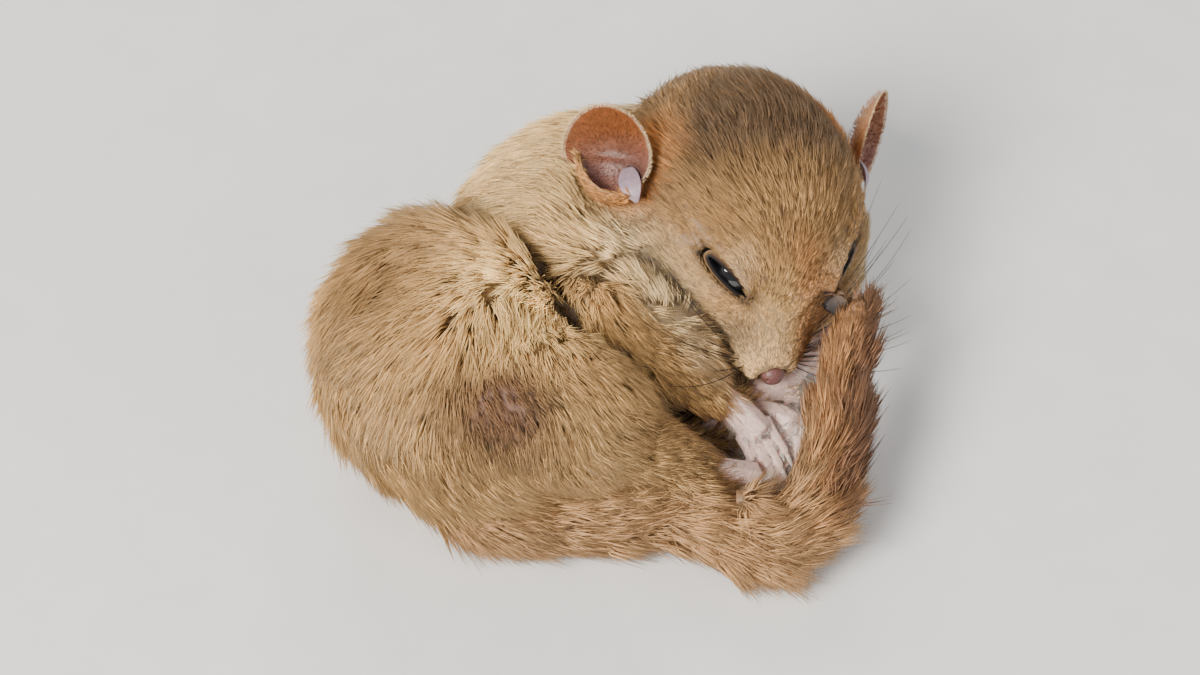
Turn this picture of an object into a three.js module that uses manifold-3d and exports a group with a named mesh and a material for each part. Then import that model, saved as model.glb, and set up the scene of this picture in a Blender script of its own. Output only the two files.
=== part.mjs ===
// Hazel dormouse asleep, curled up on its left side, at life size.
// Millimetres, +Z up. The floor is Z = 0. The brow lies towards +X, the rump towards -X,
// and the muzzle and the bend of the tail face -Y. Every outer size includes the coat.
import * as THREE from "three";
import { mergeVertices } from "three/addons/utils/BufferGeometryUtils.js";
import Module from "manifold-3d";

const wasm = await Module();
wasm.setup();

const V = (x, y, z) => new THREE.Vector3(x, y, z);

// Driving dimensions
const GAP = 0.3; // between neighbouring pieces
const COARSE_MARGIN = 0.3; // added where a coarser form cuts a neighbour
const FEW_SIDES = 18; // a form with no more than this is never made coarser
const HEAD_CENTRE = V(12.7, 15.5, 14.2);
const NOSE_WAY = V(0.2, -0.874, -0.444); // from the back of the head to the nose
const RIGHT_WAY = V(-0.87, -0.338, 0.356); // from the left cheek to the right cheek
const CRANIUM = V(12.0, 12.0, 10.6); // half length, half width and half height
const MUZZLE_TIP = V(11.5, 0, -0.3); // forward, right and up from the head's centre
const MUZZLE_RADIUS = 3.6;
const NOSE_AT = V(14.4, 0, 0.2);
const EYE_WAY = V(0.58, 0.54, 0.5); // from the head's centre to the left eye
const EYE_RADIUS = 2.5;
const EYE_SUNK = 0.25; // below the surface of the head
const SLIT = { length: 5.2, width: 1.4, depth: 2.2, rim: 0.42 };
const MOUTH = { radius: 0.45, cornerRadius: 0.25 };
const EAR_RADIUS = 4.1;
const EAR_AT = V(-6.5, 14.2, 3.3); // the middle of the left cup, from the head's centre
const EAR_FACES = V(0.48, 0.67, 0.54);
const EAR_TOP = V(-0.5, 0.6, 0.6);
const EAR_WALL = 0.6;
const EAR_CUP = 1.5; // how far the rim stands in front of the middle of the cup
const EAR_ROOT = { up: -2.6, out: -1.8, radius: 1.7 }; // the stalk, from the middle of the cup

const COAT = 0xc08a48;
const COAT_PALE = 0xcfa468;
const COAT_TAIL = 0xb58a52;
const SKIN = 0xd9a79a;
const EAR_SKIN = 0xa5683a;
const EYE_BLACK = 0x0a090b;
const NOSE_PINK = 0x9c6660;

// Solids

function solidOf(geometry, nearness = 1e-4) {
  geometry.deleteAttribute("normal");
  geometry.deleteAttribute("uv");
  const merged = mergeVertices(geometry, nearness);
  return new wasm.Manifold(
    new wasm.Mesh({
      numProp: 3,
      vertProperties: new Float32Array(merged.attributes.position.array),
      triVerts: new Uint32Array(merged.index.array),
    }),
  );
}

function largestOf(solid) {
  return solid.decompose().reduce((a, b) => (b.volume() > a.volume() ? b : a));
}

function joined(solids) {
  return solids.reduce((all, one) => all.add(one));
}

// Distance fields: each gives how far a point lies outside a form

const ball = (centre, radius) => (p) => p.distanceTo(centre) - radius;

function egg(centre, radii) {
  return (p) => {
    const q = p.clone().sub(centre).divide(radii);
    const reach = q.length();
    return (reach * (reach - 1)) / q.divide(radii).length();
  };
}

// A cone with round ends.
function roundCone(start, end, startRadius, endRadius) {
  const way = end.clone().sub(start);
  return (p) => {
    const along = THREE.MathUtils.clamp(
      p.clone().sub(start).dot(way) / way.lengthSq(),
      0,
      1,
    );
    const radius = THREE.MathUtils.lerp(startRadius, endRadius, along);
    return p.distanceTo(start.clone().addScaledVector(way, along)) - radius;
  };
}

// Joins fields with a rounded fillet of about this size.
function blended(fillet, ...fields) {
  return (p) =>
    fields
      .map((field) => field(p))
      .reduce((a, b) => {
        const near = Math.max(fillet - Math.abs(a - b), 0) / fillet;
        return Math.min(a, b) - (near * near * fillet) / 4;
      });
}

// Both sides of the head: the field is made for the right side and seen from either.
const mirrored = (field) => (p) => field(V(p.x, Math.abs(p.y), p.z));

// Forms

// Where a ray from inside a field meets its surface.
function surfaceAt(field, centre, way, grow = 0) {
  const farthest = 60;
  const looks = 70;
  const stride = 0.75;
  let reach = farthest;
  for (let look = 0; look < looks; look++) {
    const gap = field(centre.clone().addScaledVector(way, reach)) - grow;
    reach = Math.max(reach - stride * gap, GAP);
  }
  return centre.clone().addScaledVector(way, reach);
}

// A sphere's vertices moved along their rays to the surface of a field. The rings crowd
// towards the pole when crowd is over 1. A grown form only cuts, so it is coarser.
function formOf(field, centre, { pole = V(0, 0, 1), around, rings, crowd = 1 }, grow) {
  const cutting = grow > 0 && around > FEW_SIDES;
  const share = cutting ? 0.8 : 1;
  const margin = cutting ? grow + COARSE_MARGIN : grow;
  const sphere = new THREE.SphereGeometry(1, Math.ceil(around * share), Math.ceil(rings * share));
  const turn = new THREE.Quaternion().setFromUnitVectors(V(0, 1, 0), pole.clone().normalize());
  const position = sphere.attributes.position;
  const way = V(0, 0, 0);
  for (let i = 0; i < position.count; i++) {
    way.fromBufferAttribute(position, i).normalize();
    const tilt = Math.PI * (way.angleTo(V(0, 1, 0)) / Math.PI) ** crowd;
    const round = Math.hypot(way.x, way.z) || 1;
    way.set((way.x / round) * Math.sin(tilt), Math.cos(tilt), (way.z / round) * Math.sin(tilt));
    way.applyQuaternion(turn);
    const point = surfaceAt(field, centre, way, margin);
    position.setXYZ(i, point.x, point.y, point.z);
  }
  return sphere;
}

// A round tube along a smooth curve through the points, with a radius for each point and
// a blunt point at either end.
function tubeOf(points, radii, { sides, steps, closed = false }, grow = 0) {
  const curve = new THREE.CatmullRomCurve3(points, closed);
  const frames = curve.computeFrenetFrames(steps, closed);
  const vertices = [];
  const faces = [];
  const ringCount = closed ? steps : steps + 1;
  const radiusAt = (t) => {
    const place = t * (radii.length - 1);
    const low = Math.min(Math.floor(place), radii.length - 2);
    return THREE.MathUtils.lerp(radii[low], radii[low + 1], place - low) + grow;
  };
  for (let i = 0; i < ringCount; i++) {
    const middle = curve.getPoint(i / steps);
    for (let j = 0; j < sides; j++) {
      const angle = (2 * Math.PI * j) / sides;
      const point = middle
        .clone()
        .addScaledVector(frames.normals[i], radiusAt(i / steps) * Math.cos(angle))
        .addScaledVector(frames.binormals[i], radiusAt(i / steps) * Math.sin(angle));
      vertices.push(point.x, point.y, point.z);
    }
  }
  const at = (i, j) => (i % ringCount) * sides + (j % sides);
  for (let i = 0; i < steps; i++) {
    for (let j = 0; j < sides; j++) {
      faces.push(at(i, j), at(i, j + 1), at(i + 1, j + 1));
      faces.push(at(i, j), at(i + 1, j + 1), at(i + 1, j));
    }
  }
  if (!closed) {
    const bluntness = 0.6;
    for (const [ring, sign] of [[0, -1], [steps, 1]]) {
      const reach = bluntness * radiusAt(ring / steps) + grow;
      const tip = curve.getPoint(ring / steps).addScaledVector(frames.tangents[ring], sign * reach);
      const tipIndex = vertices.length / 3;
      vertices.push(tip.x, tip.y, tip.z);
      for (let j = 0; j < sides; j++) {
        if (sign < 0) faces.push(tipIndex, at(ring, j + 1), at(ring, j));
        else faces.push(tipIndex, at(ring, j), at(ring, j + 1));
      }
    }
  }
  const geometry = new THREE.BufferGeometry();
  geometry.setAttribute("position", new THREE.Float32BufferAttribute(vertices, 3));
  geometry.setIndex(faces);
  return solidOf(geometry);
}

// The head's own frame: x forward to the nose, y to the left, z up to the crown

const headForward = NOSE_WAY.clone().normalize();
const headUp = RIGHT_WAY.clone().cross(headForward).normalize();
const headLeft = headUp.clone().cross(headForward);
const headToFloor = new THREE.Matrix4()
  .makeBasis(headForward, headLeft, headUp)
  .setPosition(HEAD_CENTRE);

const onHead = (point) => point.clone().applyMatrix4(headToFloor);
const headWay = (way) => way.clone().transformDirection(headToFloor);
const LEFT = 1;
const RIGHT = -1;
const ofSide = (side, point) => V(point.x, side * point.y, point.z);

const headField = mirrored(
  blended(
    1.2,
    blended(
      4,
      egg(V(-2.6, 0, 0.2), CRANIUM),
      egg(V(1.2, 6.4, -2.6), V(9.6, 7.2, 7.0)),
      roundCone(V(4.2, 0, 0.2), MUZZLE_TIP, 7.3, MUZZLE_RADIUS),
      roundCone(V(1, 0, -5), V(8.6, 0, -3.6), 4.6, 1.9),
    ),
    ball(V(10.6, 2.3, -1.7), 2.8),
    ball(V(9.5, 0, -3.9), 2.1),
  ),
);

function headForm(grow) {
  const shape = { pole: V(1, 0, 0), around: 26, rings: 21, crowd: 1.3 };
  return solidOf(formOf(headField, V(0, 0, 0), shape, grow).applyMatrix4(headToFloor));
}

// The line of the mouth runs back from under the nose on either side.
function mouthLine() {
  const path = [
    V(7.6, -4.6, -4.4),
    V(10.2, -3.4, -4.1),
    V(12.2, -0.9, -3.7),
    V(12.2, 0.9, -3.7),
    V(10.2, 3.4, -4.1),
    V(7.6, 4.6, -4.4),
  ];
  const { radius, cornerRadius } = MOUTH;
  const radii = [cornerRadius, radius, radius, radius, radius, cornerRadius];
  return tubeOf(path.map(onHead), radii, { sides: 5, steps: 16 });
}

// The groove from the nose down to the mouth.
function philtrum() {
  const path = [V(14.9, 0, -1.0), V(14.2, 0, -2.6), V(12.8, 0, -4.2)];
  return tubeOf(path.map(onHead), [0.3, 0.35, 0.3], { sides: 5, steps: 4 });
}

// Eyes: nearly closed, so a long slit shows between two swollen lids

const eyeAt = (side) => ofSide(side, surfaceAt(headField, V(0, 0, 0), EYE_WAY.clone().normalize()));
const eyeOut = (side) => ofSide(side, V(0.42, 0.72, 0.55).normalize());
const slitWay = (side) => ofSide(side, V(0.86, -0.5, 0.0).normalize());

function eyeBall(side, grow) {
  const centre = eyeAt(side).addScaledVector(eyeOut(side), -EYE_RADIUS - EYE_SUNK);
  const sphere = new THREE.SphereGeometry(EYE_RADIUS + grow, 14, 10);
  return solidOf(sphere.applyMatrix4(new THREE.Matrix4().setPosition(onHead(centre))));
}

function slitOutline(side, scale) {
  const across = eyeOut(side).cross(slitWay(side)).normalize();
  const corners = 16;
  return Array.from({ length: corners }, (_, i) => {
    const angle = (2 * Math.PI * i) / corners;
    return eyeAt(side)
      .addScaledVector(slitWay(side), (SLIT.length / 2) * scale * Math.cos(angle))
      .addScaledVector(across, (SLIT.width / 2) * scale * Math.sin(angle));
  });
}

function lids(side, grow) {
  const rim = slitOutline(side, 1.12).map((p) => onHead(p.addScaledVector(eyeOut(side), -0.05)));
  return tubeOf(rim, [SLIT.rim, SLIT.rim], { sides: 5, steps: 14, closed: true }, grow);
}

function slitOpening(side) {
  const across = eyeOut(side).cross(slitWay(side)).normalize();
  const lens = new THREE.SphereGeometry(1, 16, 10);
  lens.scale(SLIT.length / 2, SLIT.width / 2, SLIT.depth);
  const turn = new THREE.Matrix4().makeBasis(
    headWay(slitWay(side)),
    headWay(across),
    headWay(eyeOut(side)),
  );
  if (turn.determinant() < 0) turn.scale(V(1, -1, 1));
  return solidOf(lens.applyMatrix4(turn.setPosition(onHead(eyeAt(side)))));
}

function head(grow) {
  const whole = headForm(grow).add(lids(LEFT, grow)).add(lids(RIGHT, grow));
  if (grow > 0) return whole;
  return whole
    .subtract(slitOpening(LEFT))
    .subtract(slitOpening(RIGHT))
    .subtract(mouthLine())
    .subtract(philtrum());
}

// A bare pad with two nostrils that open forward and outward.
function nose(grow) {
  const pad = blended(0.8, egg(V(0, 0, 0), V(0.95, 1.15, 0.9)), egg(V(-0.2, 0, -0.9), V(0.8, 0.55, 0.9)));
  const shape = { pole: V(1, 0, 0), around: 14, rings: 10 };
  const place = headToFloor.clone().multiply(new THREE.Matrix4().setPosition(NOSE_AT));
  const solid = solidOf(formOf(pad, V(0, 0, 0), shape, grow).applyMatrix4(place));
  if (grow > 0) return solid;
  const nostril = (side) => {
    const path = [V(0.95, side * 0.95, 0.05), V(0.3, side * 0.5, 0.1)].map((p) => p.add(NOSE_AT));
    return tubeOf(path.map(onHead), [0.3, 0.18], { sides: 6, steps: 2 });
  };
  return solid.subtract(nostril(LEFT)).subtract(nostril(RIGHT));
}

// Ears: a round thin cup on a short stalk behind its lower edge.

function ear(side, grow) {
  const out = headWay(ofSide(side, EAR_FACES));
  const top = headWay(ofSide(side, EAR_TOP));
  const up = top.clone().addScaledVector(out, -top.dot(out)).normalize();
  const across = out.clone().cross(up);
  const cup = new THREE.SphereGeometry(1, 16, 10);
  const position = cup.attributes.position;
  for (let i = 0; i < position.count; i++) {
    const [x, y, z] = [position.getX(i), position.getY(i), position.getZ(i)];
    const spread = Math.hypot(x, z);
    const bowl = EAR_CUP * (spread * spread - 1);
    position.setXYZ(
      i,
      x * (EAR_RADIUS + grow),
      -z * (EAR_RADIUS + grow),
      bowl + y * (EAR_WALL / 2 + grow),
    );
  }
  const middle = onHead(ofSide(side, EAR_AT));
  const root = middle.clone().addScaledVector(up, EAR_ROOT.up).addScaledVector(out, EAR_ROOT.out);
  const stalk = new THREE.SphereGeometry(EAR_ROOT.radius + grow, 10, 7);
  return joined([
    solidOf(cup.applyMatrix4(new THREE.Matrix4().makeBasis(up, across, out).setPosition(middle))),
    solidOf(stalk.applyMatrix4(new THREE.Matrix4().setPosition(root))),
  ]);
}

// Trunk

const trunk = {
  neck: {
    field: blended(
      5,
      roundCone(V(8.5, 19.0, 13.5), V(-0.6, 16.8, 12.0), 10.2, 11.0),
      ball(V(-4.8, 11.4, 12.6), 10.0),
    ),
    centre: V(1, 15, 13),
    detail: { around: 20, rings: 13 },
  },
  chest: {
    field: blended(4, egg(V(0.5, 8.5, 9.6), V(11.8, 11.5, 10.0)), ball(V(9, 8.5, 6.0), 6.6)),
    centre: V(1, 8.5, 9),
    detail: { around: 14, rings: 9 },
  },
  rump: {
    field: blended(
      5,
      egg(V(-13.3, 0.2, 12.6), V(12.3, 11.8, 13.2)),
      ball(V(-14.8, 3.8, 14.4), 9.2),
      ball(V(-9.5, -2.8, 10.4), 10.2),
    ),
    centre: V(-11, 0, 11),
    detail: { around: 18, rings: 12 },
  },
};

const trunkForm = ({ field, centre, detail }) => (grow) =>
  solidOf(formOf(field, centre, detail, grow));

// Legs. The right ones lie uppermost and the left ones under them.

const legForms = {
  thigh_right: {
    field: blended(4, egg(V(-6.4, -6.8, 15.6), V(8.8, 7.2, 7.6)), ball(V(-0.4, -7.4, 13.4), 5.8)),
    centre: V(-5.2, -7, 15),
    detail: { around: 22, rings: 15 },
  },
  shank_right: {
    field: roundCone(V(1.2, -7.6, 12.0), V(8.4, -7.6, 7.6), 4.8, 2.5),
    centre: V(4.4, -7.6, 10),
    detail: { around: 18, rings: 14, pole: V(1, 0, -0.6) },
  },
  arm_right: {
    field: roundCone(V(-1.4, 2.6, 16.4), V(10.6, 0.2, 7.8), 4.3, 2.2),
    centre: V(4.4, 1.4, 12.3),
    detail: { around: 16, rings: 14, pole: V(1, 0, -1) },
  },
  arm_left: {
    field: roundCone(V(6.5, 5.5, 3.6), V(14.0, 2.0, 3.6), 3.2, 1.9),
    centre: V(10.2, 3.8, 3.6),
    detail: { around: 12, rings: 10, pole: V(1, -0.6, 0) },
  },
  thigh_left: {
    field: blended(
      3,
      egg(V(-3.8, -1.5, 4.6), V(7.6, 5.6, 4.8)),
      roundCone(V(0, -2.0, 4.2), V(8.6, 0.0, 2.8), 3.8, 2.2),
    ),
    centre: V(-1.5, -1.8, 4.2),
    detail: { around: 16, rings: 12, pole: V(1, 0, 0) },
  },
};

// A hand or foot: a palm with a fan of bent toes that end in claws.
function paw({ wrist, knuckles, tip, spread, toes, thickness, toeRadius }, grow) {
  const reach = tip.clone().sub(knuckles);
  const palm = roundCone(wrist, knuckles, thickness * 0.8, thickness);
  const middle = wrist.clone().lerp(knuckles, 0.5);
  const pole = knuckles.clone().sub(wrist);
  const pieces = [solidOf(formOf(palm, middle, { pole, around: 8, rings: 6 }, grow))];
  for (let toe = 0; toe < toes; toe++) {
    const offset = toe / (toes - 1) - 0.5;
    const side = spread.clone().multiplyScalar(offset);
    const length = 1 - 0.9 * offset * offset;
    const start = knuckles.clone().addScaledVector(side, 0.85);
    const knee = start.clone().addScaledVector(reach, 0.5 * length).add(V(0, 0, 0.25 * toeRadius));
    const end = start.clone().addScaledVector(reach, length).addScaledVector(side, 0.15);
    const claw = end.clone().addScaledVector(reach.clone().normalize(), 1.1 * toeRadius);
    const radii = [toeRadius, toeRadius * 0.95, toeRadius * 0.85, toeRadius * 0.3];
    pieces.push(tubeOf([start, knee, end, claw], radii, { sides: 5, steps: 3 }, grow));
  }
  return joined(pieces);
}

const paws = {
  hand_right: {
    wrist: V(11.4, 0.2, 7.2), knuckles: V(13.8, -1.6, 5.8), tip: V(15.8, -4.6, 3.4),
    spread: V(2.6, 1.8, 0.6), toes: 4, thickness: 1.7, toeRadius: 0.6,
  },
  hand_left: {
    wrist: V(14.6, 1.6, 3.8), knuckles: V(16.8, 0.2, 4.2), tip: V(18.0, -3.2, 3.0),
    spread: V(2.4, 1.4, 0.8), toes: 4, thickness: 1.7, toeRadius: 0.6,
  },
  foot_right: {
    wrist: V(8.6, -7.6, 7.2), knuckles: V(13.6, -6.0, 3.6), tip: V(17.0, -5.2, 1.8),
    spread: V(-1.2, 3.4, 1.0), toes: 5, thickness: 1.8, toeRadius: 0.65,
  },
  foot_left: {
    wrist: V(8.6, 0.2, 2.4), knuckles: V(19.2, 7.8, 3.6), tip: V(23.6, 12.0, 6.4),
    spread: V(-2.2, 2.4, 1.4), toes: 5, thickness: 1.9, toeRadius: 0.65,
  },
};

// Tail: from the rump along the floor, round the far bend and up over the left cheek

const TAIL_PATH = [
  V(-15.0, -6.0, 6.0),
  V(-11.5, -9.2, 4.6),
  V(-6.5, -10.8, 3.8),
  V(-1.0, -10.4, 3.7),
  V(4.5, -9.4, 3.7),
  V(9.5, -10.8, 3.7),
  V(14.4, -13.2, 4.0),
  V(18.6, -11.6, 5.6),
  V(20.6, -6.8, 7.8),
  V(21.7, -1.6, 9.8),
  V(22.9, 3.4, 11.4),
  V(24.0, 8.0, 12.6),
];
const TAIL_RADII = [3.4, 4.2, 4.3, 4.3, 4.3, 4.4, 4.4, 4.2, 3.7, 3.2, 2.8, 1.4];
const TAIL_LENGTHS = 5;
const TAIL_SHAPE = { sides: 12, steps: 30 };
const CORE_SHARE = 0.84; // of the tail's radius, where locks of hair make up the rest
const LOCKS = {
  rows: 7, around: 6, from: 0.24, to: 0.93, // along the tail, of its length
  length: 7.0, width: 3.0, thickness: 1.0,
  rooted: 0.62, // of the tail's radius
};

const tailCurve = new THREE.CatmullRomCurve3(TAIL_PATH);

function tailRadius(t) {
  const place = t * (TAIL_RADII.length - 1);
  const low = Math.min(Math.floor(place), TAIL_RADII.length - 2);
  return THREE.MathUtils.lerp(TAIL_RADII[low], TAIL_RADII[low + 1], place - low);
}

// A flat lock of hair with a rounded root and a pointed tip, bent along the given points.
function lockOf(points, flat, width, thickness) {
  const vertices = [];
  const faces = [];
  const widths = [0.7, 1, 0.75];
  const sides = 4;
  widths.forEach((share, ring) => {
    const middle = points[ring];
    const along = points[ring + 1].clone().sub(middle).normalize();
    const across = along.clone().cross(flat).normalize();
    const over = across.clone().cross(along);
    for (const [side, height] of [[1, 0], [0, 1], [-1, 0], [0, -1]]) {
      const point = middle
        .clone()
        .addScaledVector(across, (side * share * width) / 2)
        .addScaledVector(over, (height * share * thickness) / 2);
      vertices.push(point.x, point.y, point.z);
    }
  });
  const tip = widths.length * sides;
  vertices.push(...points[widths.length].toArray());
  for (let ring = 0; ring < widths.length - 1; ring++) {
    for (let side = 0; side < sides; side++) {
      const a = ring * sides + side;
      const b = ring * sides + ((side + 1) % sides);
      faces.push(a, b + sides, b, a, a + sides, b + sides);
    }
  }
  for (let side = 0; side < sides; side++) {
    faces.push(tip - sides + side, tip, tip - sides + ((side + 1) % sides));
  }
  faces.push(0, 1, 2, 0, 2, 3);
  const geometry = new THREE.BufferGeometry();
  geometry.setAttribute("position", new THREE.Float32BufferAttribute(vertices, 3));
  geometry.setIndex(faces);
  return solidOf(geometry);
}

// Rows of locks that lean towards the tip of the tail and overlap like shingles.
function tailLocks() {
  const locks = [];
  for (let row = 0; row < LOCKS.rows; row++) {
    const t = THREE.MathUtils.lerp(LOCKS.from, LOCKS.to, row / (LOCKS.rows - 1));
    const end = Math.min(t + LOCKS.length / tailCurve.getLength(), 1);
    for (let lock = 0; lock < LOCKS.around; lock++) {
      const angle = (2 * Math.PI * (lock + 0.5 * (row % 2))) / LOCKS.around;
      const points = [0, 0.35, 0.7, 1].map((share) => {
        const place = THREE.MathUtils.lerp(t, end, share);
        const reach = tailRadius(place) * THREE.MathUtils.lerp(LOCKS.rooted, 1, Math.sqrt(share));
        return aroundTail(place, angle, reach);
      });
      const flat = points[1].clone().sub(tailCurve.getPoint(t)).normalize();
      const size = tailRadius(t) / Math.max(...TAIL_RADII);
      locks.push(lockOf(points, flat, LOCKS.width * size, LOCKS.thickness * size));
    }
  }
  return locks;
}

function aroundTail(t, angle, reach) {
  const tangent = tailCurve.getTangent(t);
  const side = tangent.clone().cross(V(0, 0, 1)).normalize();
  const top = side.clone().cross(tangent);
  return tailCurve
    .getPoint(t)
    .addScaledVector(side, reach * Math.cos(angle))
    .addScaledVector(top, reach * Math.sin(angle));
}

// Grown, the tail is one smooth tube round its locks.
function tailForm(grow) {
  if (grow > 0) return tubeOf(TAIL_PATH, TAIL_RADII, TAIL_SHAPE, grow);
  const core = TAIL_RADII.map((radius, i) => (i < 2 ? radius : radius * CORE_SHARE));
  return joined([tubeOf(TAIL_PATH, core, TAIL_SHAPE), ...tailLocks()]);
}

// One length of the tail, between two thin cuts across it.
function tailLength(whole, number) {
  const start = number / TAIL_LENGTHS;
  const end = (number + 1) / TAIL_LENGTHS;
  let solid = whole;
  if (number > 0) solid = solid.trimByPlane(...planeAt(start, 1));
  if (number < TAIL_LENGTHS - 1) solid = solid.trimByPlane(...planeAt(end, -1));
  return solid;
}

function planeAt(t, side) {
  const normal = tailCurve.getTangent(t).multiplyScalar(side);
  return [[normal.x, normal.y, normal.z], normal.dot(tailCurve.getPoint(t)) + GAP / 2];
}

// The pieces, those in front first: each is cut clear of the ones above it in this list

const pieces = [
  { name: "eye_right", colour: EYE_BLACK, form: (grow) => eyeBall(RIGHT, grow) },
  { name: "eye_left", colour: EYE_BLACK, form: (grow) => eyeBall(LEFT, grow) },
  { name: "nose", colour: NOSE_PINK, form: nose },
  { name: "head", colour: COAT, form: head },
  { name: "ear_right", colour: EAR_SKIN, form: (grow) => ear(RIGHT, grow) },
  { name: "ear_left", colour: EAR_SKIN, form: (grow) => ear(LEFT, grow) },
  ...Object.entries(paws).map(([name, sizes]) => ({
    name,
    colour: SKIN,
    form: (grow) => paw(sizes, grow),
  })),
  { name: "tail", colour: COAT_TAIL, form: tailForm },
  ...Object.entries(legForms).map(([name, sizes]) => ({
    name,
    colour: COAT,
    form: trunkForm(sizes),
  })),
  { name: "neck", colour: COAT_PALE, form: trunkForm(trunk.neck) },
  { name: "rump", colour: COAT, form: trunkForm(trunk.rump) },
  { name: "chest", colour: COAT_PALE, form: trunkForm(trunk.chest) },
];

function belowFloor() {
  const side = 200;
  const box = new THREE.BoxGeometry(side, side, side);
  return solidOf(box.translate(0, 0, -side / 2));
}

function geometryOf(solid) {
  const { numProp, vertProperties, triVerts } = solid.getMesh();
  const points = new Float32Array((vertProperties.length / numProp) * 3);
  for (let i = 0; i < points.length / 3; i++) {
    points.set(vertProperties.subarray(i * numProp, i * numProp + 3), i * 3);
  }
  const geometry = new THREE.BufferGeometry();
  geometry.setAttribute("position", new THREE.BufferAttribute(points, 3));
  geometry.setIndex(new THREE.BufferAttribute(new Uint32Array(triVerts), 1));
  return geometry;
}

// One closed body: slivers that part from it once near points merge are dropped.
const oneBody = (solid) =>
  [5e-3, 2e-3, 1e-3].reduce(
    (body, nearness) => largestOf(solidOf(geometryOf(body), nearness)),
    largestOf(solid),
  );

function meshOf(name, colour, solid) {
  const geometry = geometryOf(oneBody(solid));
  geometry.computeVertexNormals();
  const material = new THREE.MeshStandardMaterial({ color: colour, roughness: 0.9, metalness: 0 });
  const mesh = new THREE.Mesh(geometry, material);
  mesh.name = name;
  return mesh;
}

const dormouse = new THREE.Group();
const floor = belowFloor();
const placed = [];
for (const { name, colour, form } of pieces) {
  const clear = (solid) =>
    placed.reduce((left, other) => largestOf(left.subtract(other)), solid.subtract(floor));
  if (name === "tail") {
    for (let number = 0; number < TAIL_LENGTHS; number++) {
      dormouse.add(meshOf(`tail_${number + 1}`, colour, clear(tailLength(form(0), number))));
    }
  } else {
    dormouse.add(meshOf(name, colour, clear(form(0))));
  }
  placed.push(form(GAP));
}

// The origin lies on the floor under the middle of the whole animal.
const middle = new THREE.Box3().setFromObject(dormouse).getCenter(V(0, 0, 0));
dormouse.position.set(-middle.x, -middle.y, 0);

export default dormouse;
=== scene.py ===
"""A hazel dormouse asleep on its left side: skin, coat, eyes, ears, nose, paws and whiskers."""

import math
from collections import namedtuple

import bmesh
import bpy
import numpy as np
from bpy.props import FloatProperty, FloatVectorProperty, IntProperty, PointerProperty
from mathutils import Matrix, Vector
from mathutils.bvhtree import BVHTree
from mathutils.kdtree import KDTree


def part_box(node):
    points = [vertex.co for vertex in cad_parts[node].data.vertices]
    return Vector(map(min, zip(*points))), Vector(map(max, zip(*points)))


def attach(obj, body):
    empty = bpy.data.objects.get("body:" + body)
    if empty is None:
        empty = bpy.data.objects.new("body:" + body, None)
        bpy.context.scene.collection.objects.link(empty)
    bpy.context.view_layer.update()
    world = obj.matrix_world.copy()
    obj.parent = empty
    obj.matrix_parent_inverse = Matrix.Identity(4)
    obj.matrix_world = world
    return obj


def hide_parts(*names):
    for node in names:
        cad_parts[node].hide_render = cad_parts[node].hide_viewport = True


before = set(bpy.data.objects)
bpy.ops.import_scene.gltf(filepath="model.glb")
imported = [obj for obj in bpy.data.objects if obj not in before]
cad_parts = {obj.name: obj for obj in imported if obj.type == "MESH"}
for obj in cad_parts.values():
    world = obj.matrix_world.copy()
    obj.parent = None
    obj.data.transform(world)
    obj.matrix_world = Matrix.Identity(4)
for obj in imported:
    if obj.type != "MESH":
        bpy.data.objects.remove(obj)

bl_info = {
    "name": "Sleeping Hazel Dormouse",
    "version": (1, 0),
    "blender": (4, 5, 0),
    "location": "3D View > Sidebar > Dormouse",
    "description": "Dresses the solids of a curled dormouse in skin and fur",
    "category": "Object",
}

MM = 0.001

# The head's own frame: forward to the nose, left, and up to the crown

HEAD_CENTRE = Vector((12.7, 15.5, 14.2))
FORWARD = Vector((0.2, -0.874, -0.444)).normalized()
UP = Vector((-0.87, -0.338, 0.356)).cross(FORWARD).normalized()
LEFT = UP.cross(FORWARD)
HEAD_AXES = np.array([FORWARD, LEFT, UP])

# Places on the head in millimetres from its centre. The third side is mirrored by a sign

EYE_CENTRE = Vector((5.45, 4.16, 4.18))
EYE_OUT = Vector((0.42, 0.72, 0.55)).normalized()
EYE_RADIUS = 2.5
EYE_SUNK = 0.25  # below the surface of the head
EYE_STRETCH = 0.04  # share of its length that a ball is longer along the slit
SLIT_WAY = Vector((0.86, -0.5, 0.0)).normalized()
SLIT_HALF = (2.4, 0.34)
LID_UP = SLIT_WAY.cross(EYE_OUT)
EAR_AT = Vector((-6.5, 14.2, 3.3))
EAR_FACES = Vector((0.48, 0.67, 0.54)).normalized()
EAR_TOP = Vector((-0.5, 0.6, 0.6))
WHISKER_PAD = Vector((13.4, 2.9, -0.9))
MOUTH = ((7.6, -4.6, -4.4), (10.2, -3.4, -4.1), (12.2, 0, -3.7), (10.2, 3.4, -4.1), (7.6, 4.6, -4.4))
SIDES = {"left": 1, "right": -1}


def middle_of(node):
    low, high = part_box(node)
    return (low + high) / 2


def head_shift():
    """From the part's own millimetres to the frame: the eyes say where the head is."""
    between = (middle_of("eye_left") + middle_of("eye_right")) / 2
    return between - (HEAD_CENTRE + FORWARD * EYE_CENTRE.x + UP * EYE_CENTRE.z) * MM


SHIFT = head_shift()


def placed(x, y, z):
    """A point of the part, given in millimetres, in the frame."""
    return Vector((x, y, z)) * MM + SHIFT


def on_head(point, side=1):
    """A point of the head's own frame, on its left (1) or right (-1), in the frame."""
    own = HEAD_CENTRE + FORWARD * point.x + LEFT * (point.y * side) + UP * point.z
    return own * MM + SHIFT


def head_way(way, side=1):
    return (FORWARD * way.x + LEFT * (way.y * side) + UP * way.z).normalized()


def in_head(points):
    """Frame points as forward, left and up millimetres from the head's centre."""
    centre = np.array(HEAD_CENTRE * MM + SHIFT)
    return (points - centre) @ HEAD_AXES.T / MM


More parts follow.
